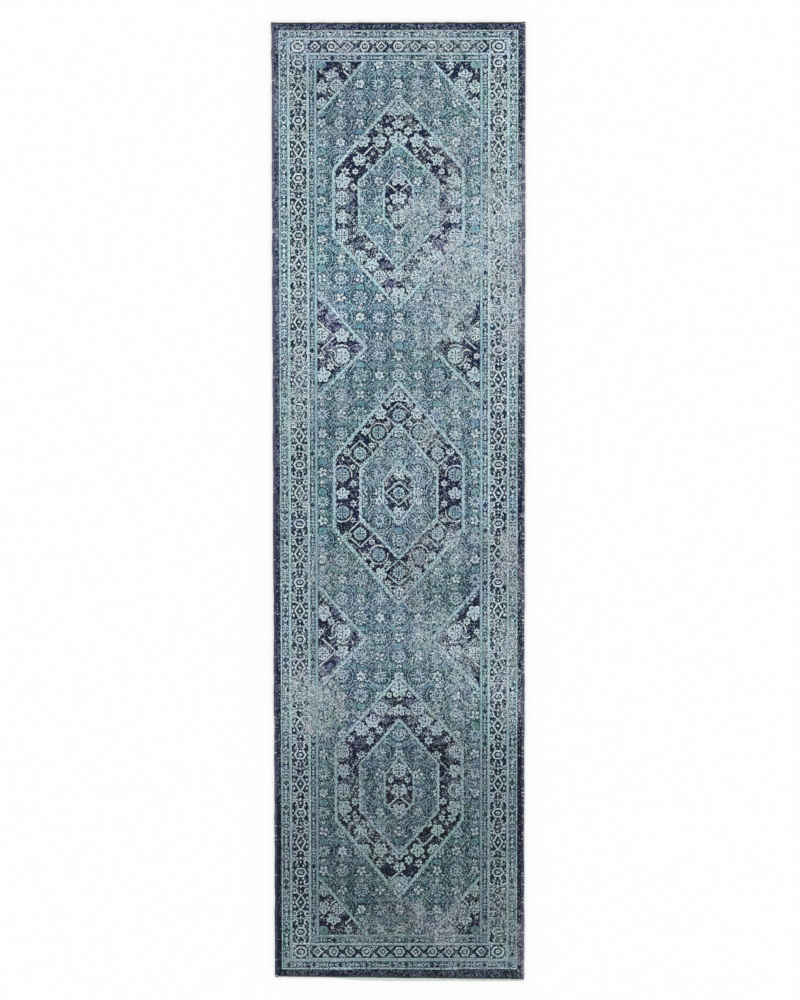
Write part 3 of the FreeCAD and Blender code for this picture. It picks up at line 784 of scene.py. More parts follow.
# the first medallion's two tips have kept their pile
for v, b in ((285, 55), (865, 80)):
    spot = spot * (1 - 0.85 * np.clip(1.4 - (XX / 75) ** 2 - ((VV - v) / b) ** 2, 0, 1))
patch = unit(fractal(46, 34, 311, 4)) ** 2.0
blot = unit(fractal(9, 7, 312, 3))
fine = unit(fractal(3.2, 2.2, 313, 2))
worn = (0.62 * spot + 0.16 * patch + 0.09) * (0.35 + 0.75 * blot + 0.55 * fine)

# streaks along the warp (long) and the weft (short)
g = np.random.default_rng(41)
warp = unit(value_noise(70, 1.0, 321)) ** 3 * 0.5 + unit(value_noise(22, 1.0, 322)) ** 4 * 0.5
weft = unit(value_noise(1.0, 46, 323)) ** 4 * 0.5 + unit(value_noise(1.0, 17, 324)) ** 4 * 0.4
side_band = np.interp(VV[:, 0], [0, 300, 700, 1200, 1600, 2300, 2550, 3010], [0.46, 0.55, 0.42, 0.42, 0.26, 0.26, 0.03, 0.05])[:, None]
right_band = np.interp(VV[:, 0], [0, 300, 420, 950, 1100, 1650, 1800, 1900, 2150, 2250, 2750, 2850, 3010],
                       [0.22, 0.20, 0.64, 0.70, 0.26, 0.20, 0.56, 0.16, 0.52, 0.05, 0.06, 0.62, 0.52])[:, None]
end_band = np.where(VV < 100, 0.30, 0.34)
band_wear = np.where(np.abs(XX) > E_NAVY, np.where(XX < 0, side_band, right_band), end_band)
chance = worn + 0.14 * warp + 0.10 * weft
chance = np.where(BAND, band_wear * (0.55 + 0.9 * blot) + 0.32 * warp * (0.35 + patch), chance)
dice = g.random((ROWS, COLS))
dice = dice * 0.60 + 0.28 * np.roll(dice, 1, 0) + 0.12 * np.roll(dice, 1, 1)      # worn knots run on along the warp
lo, hi = np.percentile(dice, 1), np.percentile(dice, 99)
dice = np.clip((dice - lo) / (hi - lo), 0, 1)
drop = np.clip((chance - dice) / 0.10 + 0.5, 0, 1)
drop = np.clip(drop * 0.86 + 0.05 * chance, 0, 1)

# yarn lots: each ground drifts along the rug between blue, teal and grey-green
lot = unit(fractal(110, 400, 331, 3)) - 0.5
lot2 = unit(fractal(40, 60, 332, 3)) - 0.5
lot3 = unit(fractal(18, 120, 333, 2)) - 0.5
tint = np.stack([-2 + 3 * lot2 - 2 * lot, 3.5 * lot - 0.5 * lot2, 2 * lot2 + 3 * lot3], -1)
rgb = knot + tint * np.where(kind <= NAVY, 0.4, 1.0)[..., None]

# what a worn knot shows: bleached wool, greyish, mauve in places; a light knot wears darker
pinkish = np.clip(unit(fractal(60, 36, 341, 4)) * 1.2 - 0.62 + 0.35 * spot, 0, 0.75)[..., None]
bleached = np.array([186, 195, 200.0]) * (1 - pinkish) + np.array([187, 185, 192.0]) * pinkish
vary = g.normal(0, 1, (ROWS, COLS, 1))
bleached = bleached + vary * 36
navy_worn = np.where((XX < E_NAVY)[..., None], np.array([127, 132, 151.0]) + vary * 30, np.array([160, 162, 172.0]) + vary * 42)
target = np.where(BAND[..., None], navy_worn, bleached)
rgb = rgb * (1 - drop[..., None]) + target * drop[..., None]

# single knots: light and dark yarn ends, and a few stray dark and white ones
speck = g.normal(0, 1, (ROWS, COLS))
rgb = rgb + speck[..., None] * np.where(BAND, 9.0, 12.0)[..., None]
stray = g.random((ROWS, COLS))
rgb = np.where((stray < 0.05 + 0.13 * spot)[..., None] & ~BAND[..., None], rgb * 0.40 + np.array([22, 42, 56.0]) * 0.60, rgb)
rgb = np.where((stray > 0.958 - 0.055 * spot)[..., None], rgb * 0.40 + np.array([214, 228, 232.0]) * 0.60, rgb)
# short dashes of dark and light yarn all over the field, which half hide its flowers
dash = g.random((ROWS, COLS))
runs = np.maximum(dash, np.roll(dash, 1, 0) * (g.random((ROWS, COLS)) > 0.45))
runs = np.maximum(runs, np.roll(dash, (1, 1), (0, 1)) * (g.random((ROWS, COLS)) > 0.75))
runs2 = np.maximum(1 - dash, np.roll(1 - dash, 1, 1) * (g.random((ROWS, COLS)) > 0.45))
ground = FIELD & (kind != NAVY)
busy = 0.035 + 0.10 * patch + 0.06 * spot
rgb = np.where((ground & (runs > 1 - busy * 0.55))[..., None], rgb * 0.35 + np.array([34, 60, 76.0]) * 0.65, rgb)
rgb = np.where((ground & (runs2 > 1 - busy * 0.70))[..., None], rgb * 0.40 + np.array([186, 206, 214.0]) * 0.60, rgb)
# the pale lines are never whole: some of their knots are the ground's colour
rgb = np.where(((kind == LINE) & (stray > 0.20) & (stray < 0.38))[..., None], rgb * 0.45 + np.array([96, 126, 142.0]) * 0.55, rgb)

inner = (np.abs(XX) > E_LINE4 - 1) & (np.abs(XX) < E_IN + 1) | (VV > 117) & (VV < 127) | (VV > 2869) & (VV < 2878)
inner = inner & (np.abs(XX) < E_IN + 1) & (kind == LINE)
rgb = np.where(inner[..., None], rgb * 0.72 + np.array([128, 156, 170.0]) * 0.28, rgb)

# the dye lot grows darker towards the foot
deep = np.interp(VV[:, 0], [0, 300, 600, 900, 1050, 1500, 1700, 2100, 2300, 2600, 2750, 3010],
                 [0.97, 1.00, 1.01, 1.08, 0.98, 0.95, 0.90, 0.93, 0.75, 0.67, 0.68, 0.68])
deep = deep[:, None] * (1 + 0.05 * (unit(fractal(26, 200, 351, 2)) - 0.5) + 0.13 * (unit(fractal(60, 44, 352, 3)) - 0.5))
deep = deep - 0.07 * np.exp(-((XX + 150) / 60) ** 2 - ((VV - 600) / 170) ** 2)
# it darkens the ground more than the flowers
pale = np.clip(rgb.mean(-1) / 255, 0, 1)
rgb = rgb * (deep ** (1.30 - 0.75 * pale))[..., None]
# small patches where the blue or the green of the dye has gone
hue = unit(fractal(13, 11, 361, 3)) - 0.5
hue2 = unit(fractal(30, 24, 362, 3)) - 0.5
rgb = rgb + np.stack([-4 * hue2, 3 * hue2 - 2 * hue, 8 * hue - 3 * hue2], -1)
# the dye is bluest in its middle tones
mid = np.clip(rgb.mean(-1, keepdims=True) / 255, 0, 1)
rgb = rgb + np.array([0.0, 4.0, 4.5]) * (4 * mid * (1 - mid))
rgb = np.clip(rgb, 12, 245)
# ------------------------------------------------------------------ places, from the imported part
MMS = 0.001
pile_lo, pile_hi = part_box("pile_face")
gr_lo, gr_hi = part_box("ground_weave")
la_lo, la_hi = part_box("latex_backing")
left_lo, left_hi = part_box("overlock_left")
right_lo, right_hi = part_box("overlock_right")
th_lo, th_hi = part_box("end_tape_head")
tf_lo, tf_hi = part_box("end_tape_foot")
lb_lo, lb_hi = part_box("care_label")
HEAD_Y = right_hi[1]
HALF_W = right_hi[0]
BEAD = right_hi[0] - right_lo[0]
IN_X = HALF_W - BEAD                       # where the pile meets the side overlock
FOOT_L, FOOT_R = left_lo[1], right_lo[1]
END_W = HEAD_Y - pile_hi[1]                # the end overlock's width
TOP, MID_Z, LOW = pile_hi[2], pile_lo[2], gr_lo[2]


def foot_line(x):
    """The foot end runs slightly off square."""
    return FOOT_L + (np.asarray(x) + HALF_W) / (2 * HALF_W) * (FOOT_R - FOOT_L)


def new_object(name, verts, faces, mat, smooth=True):
    me = bpy.data.meshes.new(name)
    verts = np.ascontiguousarray(verts, dtype=np.float32)
    me.vertices.add(len(verts))
    me.vertices.foreach_set("co", verts.ravel())
    if isinstance(faces, np.ndarray):
        n, k = faces.shape
        me.loops.add(n * k)
        me.loops.foreach_set("vertex_index", np.ascontiguousarray(faces, dtype=np.int32).ravel())
        me.polygons.add(n)
        me.polygons.foreach_set("loop_start", np.arange(0, n * k, k, dtype=np.int32))
        me.polygons.foreach_set("loop_total", np.full(n, k, dtype=np.int32))
    else:
        flat, start = [], []
        for f in faces:
            start.append(len(flat))
            flat.extend(f)
        me.loops.add(len(flat))
        me.loops.foreach_set("vertex_index", np.array(flat, dtype=np.int32))
        me.polygons.add(len(start))
        me.polygons.foreach_set("loop_start", np.array(start, dtype=np.int32))
        me.polygons.foreach_set("loop_total", np.array([len(f) for f in faces], dtype=np.int32))
    me.update(calc_edges=True)
    me.validate()
    me.polygons.foreach_set("use_smooth", np.full(len(me.polygons), smooth))
    ob = bpy.data.objects.new(name, me)
    bpy.context.scene.collection.objects.link(ob)
    if mat is not None:
        me.materials.append(mat)
    return ob


def put_colour(ob, name, rgb, domain="POINT"):
    """rgb: linear colour per vertex, or per face."""
    a = ob.data.attributes.new(name, "FLOAT_COLOR", domain)
    buf = np.ones((len(ob.data.vertices if domain == "POINT" else ob.data.polygons), 4), np.float32)
    buf[:, :3] = rgb
    a.data.foreach_set("color", buf.ravel())


def linear(c):
    c = np.clip(np.asarray(c, float) / 255.0, 0, 1)
    return np.where(c <= 0.04045, c / 12.92, ((c + 0.055) / 1.055) ** 2.4)


# ------------------------------------------------------------------ materials
class Mat:
    """A short way to write a node material."""

    def __init__(self, name, rough=0.9, sheen=0.0, spec=0.3, sheen_tint=(1, 1, 1, 1)):
        self.m = bpy.data.materials.new(name)
        self.m.use_nodes = True
        self.nt = self.m.node_tree
        self.p = self.nt.nodes["Principled BSDF"]
        self.p.inputs["Roughness"].default_value = rough
        self.p.inputs["Sheen Weight"].default_value = sheen
        self.p.inputs["Sheen Roughness"].default_value = 0.5
        self.p.inputs["Sheen Tint"].default_value = sheen_tint
        self.p.inputs["Specular IOR Level"].default_value = spec
        self.co = self.node("ShaderNodeTexCoord").outputs["Object"]

    def node(self, kind, **sets):
        n = self.nt.nodes.new(kind)
        for k, v in sets.items():
            setattr(n, k, v)
        return n

    def link(self, a, b):
        self.nt.links.new(a, b)

    def mapped(self, scale, turn=(0, 0, 0), move=(0, 0, 0)):
        n = self.node("ShaderNodeMapping")
        n.inputs["Scale"].default_value = scale
        n.inputs["Rotation"].default_value = turn
        n.inputs["Location"].default_value = move
        self.link(self.co, n.inputs["Vector"])
        return n.outputs["Vector"]

    def noise(self, vec, scale=1.0, detail=3.0, rough=0.55):
        n = self.node("ShaderNodeTexNoise")
        n.inputs["Scale"].default_value = scale
        n.inputs["Detail"].default_value = detail
        n.inputs["Roughness"].default_value = rough
        self.link(vec, n.inputs["Vector"])
        return n.outputs["Fac"]

    def voronoi(self, vec, scale=1.0, feature="F1", rand=1.0):
        n = self.node("ShaderNodeTexVoronoi", feature=feature)
        n.inputs["Scale"].default_value = scale
        n.inputs["Randomness"].default_value = rand
        self.link(vec, n.inputs["Vector"])
        return n

    def wave(self, vec, scale, axis="X", distort=0.0, detail=0.0, profile="SIN"):
        n = self.node("ShaderNodeTexWave", wave_type="BANDS", bands_direction=axis, wave_profile=profile)
        n.inputs["Scale"].default_value = scale
        n.inputs["Distortion"].default_value = distort
        n.inputs["Detail"].default_value = detail
        self.link(vec, n.inputs["Vector"])
        return n.outputs["Fac"]

    def math(self, op, a, b=None, c=None, clamp=False):
        n = self.node("ShaderNodeMath", operation=op, use_clamp=clamp)
        for i, v in enumerate((a, b, c)):
            if v is None:
                continue
            if isinstance(v, (int, float)):
                n.inputs[i].default_value = v
            else:
                self.link(v, n.inputs[i])
        return n.outputs[0]

    def ramp(self, fac, stops):
        n = self.node("ShaderNodeValToRGB")
        r = n.color_ramp
        while len(r.elements) < len(stops):
            r.elements.new(0.5)
        for e, (pos, col) in zip(r.elements, stops):
            e.position = pos
            e.color = col if len(col) == 4 else (*col, 1)
        self.link(fac, n.inputs["Fac"])
        return n.outputs["Color"]

    def span(self, fac, a, b, c, d):
        n = self.node("ShaderNodeMapRange")
        n.inputs["From Min"].default_value = a
        n.inputs["From Max"].default_value = b
        n.inputs["To Min"].default_value = c
        n.inputs["To Max"].default_value = d
        self.link(fac, n.inputs["Value"])
        return n.outputs["Result"]

    def mix(self, fac, a, b, how="MIX"):
        n = self.node("ShaderNodeMix", data_type="RGBA", blend_type=how)
        if isinstance(fac, (int, float)):
            n.inputs["Factor"].default_value = fac
        else:
            self.link(fac, n.inputs["Factor"])
        for sock, v in ((n.inputs[6], a), (n.inputs[7], b)):
            if isinstance(v, tuple):
                sock.default_value = v if len(v) == 4 else (*v, 1)
            else:
                self.link(v, sock)
        return n.outputs[2]

    def attr(self, name):
        return self.node("ShaderNodeAttribute", attribute_name=name).outputs["Color"]

    def shade(self, colour, value):
        """colour times a grey value."""
        n = self.node("ShaderNodeVectorMath", operation="SCALE")
        self.link(colour, n.inputs[0])
        self.link(value, n.inputs["Scale"])
        return n.outputs["Vector"]

    def done(self, colour=None, rough=None, height=None, strength=0.4, dist=0.001):
        if colour is not None:
            self.link(colour, self.p.inputs["Base Color"])
        if rough is not None:
            self.link(rough, self.p.inputs["Roughness"])
        if height is not None:
            b = self.node("ShaderNodeBump")
            b.inputs["Strength"].default_value = strength
            b.inputs["Distance"].default_value = dist
            self.link(height, b.inputs["Height"])
            self.link(b.outputs["Normal"], self.p.inputs["Normal"])
        return self.m


def pile_material():
    m = Mat("cut_pile", sheen=0.12, spec=0.15)
    knots = m.voronoi(m.mapped((400, 400, 150)), rand=0.55)          # one tuft every 2.5 mm
    fibre = m.noise(m.mapped((1500, 1500, 500)), detail=2.0)
    lot = m.noise(m.mapped((90, 14, 1)), detail=2.0)                 # streaks along the warp
    # painted shade: each tuft's colour is lighter at its middle and darker towards its edge, where the gaps between
    # tufts lie
    painted_tuft_shade = m.span(knots.outputs["Distance"], 0.0, 0.75, 1.06, 0.80)
    v = m.math("MULTIPLY", painted_tuft_shade, m.span(fibre, 0.25, 0.75, 0.93, 1.07))
    v = m.math("MULTIPLY", v, m.span(lot, 0.3, 0.7, 0.965, 1.035))
    col = m.shade(m.attr("knot"), v)
    h = m.math("ADD", m.math("MULTIPLY", knots.outputs["Distance"], -1.0), m.math("MULTIPLY", fibre, 0.45))
    return m.done(col, m.span(fibre, 0.3, 0.7, 0.86, 1.0), h, strength=0.55, dist=0.0012)


def wrapped_material(name, sheen=0.15):
    m = Mat(name, sheen=sheen, spec=0.2)
    ply = m.noise(m.mapped((900, 2200, 900)), detail=3.0)
    fuzz = m.noise(m.mapped((3500, 3500, 3500)), detail=1.0)
    v = m.math("MULTIPLY", m.span(ply, 0.3, 0.7, 0.84, 1.14), m.span(fuzz, 0.3, 0.7, 0.94, 1.06))
    col = m.shade(m.attr("yarn"), v)
    return m.done(col, m.span(ply, 0.3, 0.7, 0.8, 0.98), m.math("ADD", ply, m.math("MULTIPLY", fuzz, 0.4)),
                  strength=0.5, dist=0.0006)


def woven_material(name, a, b, pitch, rough=(0.82, 0.98), dist=0.0006):
    """Plain weave: b is the yarns' colour where they cross over, and a is a darker copy of it painted into the hollows
    between them as painted shade.
    """
    m = Mat(name, sheen=0.08, spec=0.2)
    # a wave texture's band repeats every 2 * pi / (20 * scale) of its own units
    s = 2 * math.pi / (20 * pitch * 2)
    jig = m.noise(m.mapped((60, 60, 60)), detail=2.0)
    warp = m.wave(m.mapped((1, 1, 1)), s, "X", distort=0.6, detail=1.0)
    weft = m.wave(m.mapped((1, 1, 1)), s, "Y", distort=0.6, detail=1.0)
    over = m.math("ABSOLUTE", m.math("SUBTRACT", warp, weft))
    slub = m.noise(m.mapped((700, 120, 300)), detail=3.0)
    # painted shade: the darker colour a fills the low hollows between the yarns, the same places where the bump sinks
    col = m.mix(m.span(over, 0.0, 0.8, 0.0, 1.0), (*a, 1), (*b, 1))
    col = m.shade(col, m.math("MULTIPLY", m.span(slub, 0.3, 0.7, 0.84, 1.12), m.span(jig, 0.3, 0.7, 0.94, 1.06)))
    h = m.math("ADD", over, m.math("MULTIPLY", slub, 0.35))
    return m.done(col, m.span(slub, 0.3, 0.7, *rough), h, strength=0.6, dist=dist)


def thread_material(name, colour, sheen=0.1):
    m = Mat(name, sheen=sheen, spec=0.35)
    ply = m.wave(m.mapped((1, 1, 1), turn=(0, 0, 0.7)), 2 * math.pi / (20 * 0.0008), "X", distort=0.8, detail=1.0)
    fuzz = m.noise(m.mapped((4000, 4000, 4000)), detail=2.0)
    # painted shade: the thread's colour is darker in the grooves of its twist, where the ply wave and the bump are low
    col = m.shade(m.mix(m.span(fuzz, 0.3, 0.7, 0.0, 1.0), (*[c * 0.88 for c in colour], 1), (*[min(1, c * 1.1) for c in colour], 1)),
                  m.span(ply, 0.0, 1.0, 0.82, 1.08))
    return m.done(col, m.span(fuzz, 0.3, 0.7, 0.55, 0.8), ply, strength=0.4, dist=0.0003)


# ------------------------------------------------------------------ pile
def rough_edge(n, seed, amount, cells):
    """A slightly uneven line: n numbers of about +-amount metres."""
    g = np.random.default_rng(seed)
    x = np.linspace(0, cells, n)
    k = g.uniform(-1, 1, int(cells) + 3)
    i = x.astype(int)
    f = x - i
    f = f * f * (3 - 2 * f)
    return amount * (k[i] * (1 - f) + k[i + 1] * f)


def beat(mm):
    """The weft was beaten closer near the head than near the foot: the design's row position, in mm, for a place
    so many mm from the head end."""
    t = mm / 3005.0
    return mm + 65.3 * t * (1 - t) + 0.5 + 1.26 * t


PLACES = np.linspace(-20.0, 3040.0, 6121)
BEATEN = beat(PLACES)


def build_pile():
    nx = int(round(2 * IN_X * 1000 / 2.5)) + 1            # columns of points, 2.5 mm apart
    xs = np.linspace(-IN_X, IN_X, nx)
    foot = foot_line(xs) + END_W
    low = foot.min()
    first, last = beat(END_W * 1000), beat((HEAD_Y - low) * 1000)
    edges = np.concatenate([[first], np.arange(int(first / 2.5) + 1, int(last / 2.5) + 1) * 2.5, [last]])
    edges = edges[np.concatenate([[True], np.diff(edges) > 0.6])]
    edges[-1] = last
    ny = len(edges)
    Yr = np.repeat(HEAD_Y - np.interp(edges, BEATEN, PLACES)[:, None] * MMS, nx, 1)
    # rows stay square to the rug; those in the last stretch close up to meet the slanted foot
    span = 0.06
    s = np.clip((Yr - low) / (span + foot[None, :] - low), 0, 1)
    Y = np.where(Yr < foot[None, :] + span, foot[None, :] + s * span, Yr)
    X = np.repeat(xs[None, :], ny, 0)
    # colour: the design at each point
    u = np.clip((X * 1000 + 395.0) / 2.5 - 0.5, 0, COLS - 1)
    v = np.clip(beat(HEAD_Y * 1000 - Y * 1000) / 2.5 - 0.5, 0, ROWS - 1)
    u0, v0 = np.floor(u).astype(int), np.floor(v).astype(int)
    u1, v1 = np.minimum(u0 + 1, COLS - 1), np.minimum(v0 + 1, ROWS - 1)
    # nearest knot, so that each keeps its own colour
    ui, vi = np.clip(np.rint(u).astype(int), 0, COLS - 1), np.clip(np.rint(v).astype(int), 0, ROWS - 1)
    col = rgb[vi, ui]
    col = linear(col) * GAIN
    # height: tufts, worn places lower, light lines a touch proud, rims rolled down
    g = np.random.default_rng(5)
    wear_at = drop[vi, ui]
    tall = np.where(np.isin(kind[vi, ui], (NAVY, INK)), -0.12, 0.05)
    Z = TOP - 0.00045 + 0.001 * (0.16 * g.uniform(-1, 1, X.shape) + tall * 1.2 - 0.55 * wear_at * (0.4 + 0.6 * g.random(X.shape)))
    wavy = (value_noise(120, 60, 901, ny, nx) - 0.5) * 0.0016 + (value_noise(34, 30, 902, ny, nx) - 0.5) * 0.0006
    Z = Z + wavy
    dist = np.minimum(np.minimum(X + IN_X, IN_X - X), np.minimum((HEAD_Y - END_W) - Y, Y - foot[None, :]))
    roll = np.clip(1 - dist / 0.006, 0, 1)
    Z = Z - roll ** 2 * 0.0016
    Z = np.minimum(Z, TOP + 0.0008)
    top = np.stack([X, Y, Z], -1).reshape(-1, 3)
    idx = np.arange(ny * nx).reshape(ny, nx)
    quads = np.stack([idx[:-1, :-1], idx[1:, :-1], idx[1:, 1:], idx[:-1, 1:]], -1).reshape(-1, 4)
    faces = [quads]
    # the closed underside: a rim of points at the ground's height
    rim = np.concatenate([idx[0, :], idx[1:, -1], idx[-1, -2::-1], idx[-2:0:-1, 0]])
    m = len(rim)
    low_pts = top[rim].copy()
    low_pts[:, 2] = MID_Z
    base = len(top)
    ring = np.arange(m) + base
    nxt = np.roll(np.arange(m), -1)
    skirt = np.stack([rim, rim[nxt], ring[nxt], ring], -1)
    verts = np.concatenate([top, low_pts])
    # underside strips, one for each pair of rows
    def lt(j):
        return int(ring[(m - j) % m])

    def rt(j):
        return int(ring[nx - 1 + j])
    polys = [[int(r) for r in ring[:nx]] + [rt(1), lt(1)]]
    polys += [[lt(j), rt(j), rt(j + 1), lt(j + 1)] for j in range(1, ny - 2)]
    polys.append([lt(ny - 2), rt(ny - 2)] + [int(r) for r in ring[nx + ny - 2: 2 * nx + ny - 2]])
    allfaces = quads.tolist() + skirt.tolist() + polys
    ob = new_object("pile", verts, allfaces, pile_material())
    # each face of the top is one knot and holds one colour
    fx = (X[:-1, :-1] + X[1:, 1:]) / 2
    fy = (Y[:-1, :-1] + Y[1:, 1:]) / 2
    fi = np.clip(((fx * 1000 + 395.0) / 2.5).astype(int), 0, COLS - 1)
    fj = np.clip((beat(HEAD_Y * 1000 - fy * 1000) / 2.5).astype(int), 0, ROWS - 1)
    knots = (linear(rgb[fj, fi]) * GAIN).reshape(-1, 3)
    # painted shade: the underside is painted 20% darker than the knots' mean, and the cut sides 15% darker than the
    # knots at the top's edge
    body = np.zeros((len(ob.data.polygons), 3))
    body[:] = knots.mean(0) * 0.8
    body[:len(knots)] = knots
    side = np.arange(m)
    body[len(knots):len(knots) + m] = col.reshape(-1, 3)[rim[side]] * 0.85
    put_colour(ob, "knot", body, "FACE")
    return ob


GAIN = 1.01
pile = build_pile()
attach(pile, "root")
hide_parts("pile_face")


# ------------------------------------------------------------------ wrapped edges
def wrapped_bead(name, side, pitch=0.0028, per_wrap=4):
    """The overlock down one long side: yarn wrapped over the edge, turn beside turn."""
    y0, y1 = (FOOT_L if side < 0 else FOOT_R), HEAD_Y
    n = int((y1 - y0) / pitch * per_wrap) + 1
    ys = np.linspace(y1, y0, n)
    # half-open profile, from under the inner edge round the outside to the inner top: (inward, z)
    zt = right_hi[2]
    prof = np.array([(BEAD, 0.0004), (BEAD * 0.55, 0.0002), (0.0022, 0.0003), (0.0007, 0.0010), (0.0001, 0.0026),
                     (0.0003, 0.0045), (0.0016, 0.0060), (0.0038, zt - 0.0002), (0.0064, zt - 0.0001),
                     (0.0082, zt - 0.0009), (BEAD, zt - 0.0028)])
    k = len(prof)
    centre = np.array([BEAD * 0.5, 0.0033])
    out = prof - centre
    out /= np.linalg.norm(out, axis=1)[:, None]
    wrap = (np.arange(n) / per_wrap)[:, None] + np.linspace(0, 1.0, k)[None, :] * 0.8       # slanted turns
    turn = np.floor(wrap).astype(int)
    ridge = np.abs(np.sin(np.pi * wrap)) ** 0.7
    g = np.random.default_rng(70 + side)
    fat = g.uniform(0.7, 1.25, turn.max() + 2)
    amp = 0.00055 * fat[turn]
    push = (ridge - 0.75) * amp
    P = prof[None, :, :] + out[None, :, :] * push[:, :, None]
    P[:, :, 1] = np.maximum(P[:, :, 1], 0.0)
    wob = rough_edge(n, 80 + side, 0.0009, 60) + rough_edge(n, 85 + side, 0.0004, 300)
    inward = P[:, :, 0]
    fade = np.clip(1 - inward / BEAD, 0, 1)
    X = side * (HALF_W - inward + wob[:, None] * fade - 0.0004)
    Y = np.repeat(ys[:, None], k, 1)
    Z = P[:, :, 1]
    V = np.stack([X, Y, Z], -1).reshape(-1, 3)
    idx = np.arange(n * k).reshape(n, k)
    q = np.stack([idx[:-1, :-1], idx[1:, :-1], idx[1:, 1:], idx[:-1, 1:]], -1).reshape(-1, 4)
    close = np.stack([idx[:-1, -1], idx[1:, -1], idx[1:, 0], idx[:-1, 0]], -1)
    faces = np.concatenate([q, close])
    if side < 0:
        faces = faces[:, ::-1]
    allf = faces.tolist() + [list(idx[0] if side > 0 else idx[0][::-1]), list(idx[-1][::-1] if side > 0 else idx[-1])]
    ob = new_object(name, V, allf, EDGE_MAT)
    # mottled yarn: navy with mauve-grey, in runs of a few turns
    tn = turn.max() + 2
    lot = np.interp(np.arange(tn), np.arange(0, tn + 14, 7), g.random(len(np.arange(0, tn + 14, 7))))
    slow = np.interp(np.arange(tn), np.arange(0, tn + 120, 60), g.random(len(np.arange(0, tn + 120, 60))))
    beside = (side_band if side < 0 else right_band)[:, 0]
    beside = beside[np.clip((beat(np.arange(tn) * pitch * 1000) / 2.5).astype(int), 0, ROWS - 1)]
    light = np.clip(0.40 * lot + 0.35 * slow + 0.35 * g.random(tn) - 0.42 + 1.1 * beside, 0, 1)
    white = (g.random(tn) > (0.86 if side > 0 else 0.97)) * g.uniform(0.5, 1.0, tn)
    a, b, c = np.array([52, 55, 82.0]), np.array([116, 116, 138.0]), np.array([196, 198, 206.0])
    cc = a + (b - a) * light[:, None]
    cc = cc + (c - cc) * white[:, None]
    # painted shade: each turn of yarn is darker in the groove beside the next turn and lighter on its crest
    yarn_with_painted_shade = cc[turn] * (0.72 + 0.32 * ridge[:, :, None])
    put_colour(ob, "yarn", linear(yarn_with_painted_shade.reshape(-1, 3)) * GAIN)
    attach(ob, "root")
    return ob


EDGE_MAT = wrapped_material("overlock_yarn_mat")
lo_ob = wrapped_bead("overlock_side_left", -1)
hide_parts("overlock_left")
ro_ob = wrapped_bead("overlock_side_right", 1)
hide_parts("overlock_right")


def end_bead(name, head, pitch=0.0022, per_wrap=4):
    """The dark overlock round an end's cut."""
    w = END_W
    n = int(2 * IN_X / pitch * per_wrap) + 1
    xs = np.linspace(-IN_X, IN_X, n)
    z0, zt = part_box("end_overlock_head")[0][2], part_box("end_overlock_head")[1][2]
    prof = np.array([(w, z0), (w * 0.5, z0), (0.0010, z0 + 0.0003), (0.0002, z0 + 0.0014), (0.0001, z0 + 0.0034),
                     (0.0010, zt - 0.0010), (0.0026, zt - 0.0002), (0.0042, zt - 0.0002), (w, zt - 0.0014)])
    k = len(prof)
    centre = np.array([w * 0.5, (z0 + zt) / 2])
    out = prof - centre
    out /= np.linalg.norm(out, axis=1)[:, None]
    wrap = (np.arange(n) / per_wrap)[:, None] + np.linspace(0, 1.0, k)[None, :] * 0.6
    turn = np.floor(wrap).astype(int)
    ridge = np.abs(np.sin(np.pi * wrap)) ** 0.8
    g = np.random.default_rng(90 + head)
    P = prof[None] + out[None] * ((ridge - 0.8) * 0.0004 * g.uniform(0.6, 1.3, turn.max() + 2)[turn])[:, :, None]
    P[:, :, 1] = np.maximum(P[:, :, 1], z0)
    wob = rough_edge(n, 95 + head, 0.0005, 40)
    edge = HEAD_Y if head else foot_line(xs)
    sgn = 1 if head else -1
    fade = np.clip(1 - P[:, :, 0] / w, 0, 1)
    X = np.repeat(xs[:, None], k, 1)
    Y = (np.zeros(n) + edge)[:, None] - sgn * P[:, :, 0] + (wob[:, None] - 0.0003 * sgn) * fade
    V = np.stack([X, Y, P[:, :, 1]], -1).reshape(-1, 3)
    idx = np.arange(n * k).reshape(n, k)
    q = np.stack([idx[:-1, :-1], idx[1:, :-1], idx[1:, 1:], idx[:-1, 1:]], -1).reshape(-1, 4)
    close = np.stack([idx[:-1, -1], idx[1:, -1], idx[1:, 0], idx[:-1, 0]], -1)
    faces = np.concatenate([q, close])
    if not head:
        faces = faces[:, ::-1]
    allf = faces.tolist() + [list(idx[0] if head else idx[0][::-1]), list(idx[-1][::-1] if head else idx[-1])]
    ob = new_object(name, V, allf, END_MAT)
    tn = turn.max() + 2
    light = np.clip(0.6 * g.random(tn) + 0.3 * np.interp(np.arange(tn), np.arange(0, tn + 60, 30), g.random(len(np.arange(0, tn + 60, 30)))), 0, 1)
    a, b = np.array([44, 52, 58.0]), np.array([96, 106, 110.0])
    # painted shade: each turn of thread is darker in its groove and lighter on its crest
    cc = (a + (b - a) * light[:, None])[turn] * (0.75 + 0.3 * ridge[:, :, None])
    put_colour(ob, "yarn", linear(cc.reshape(-1, 3)) * GAIN)
    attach(ob, "root")
    return ob


END_MAT = wrapped_material("end_thread_mat", sheen=0.05)
eh = end_bead("overlock_end_head", 1)
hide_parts("end_overlock_head")
ef = end_bead("overlock_end_foot", 0)
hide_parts("end_overlock_foot")


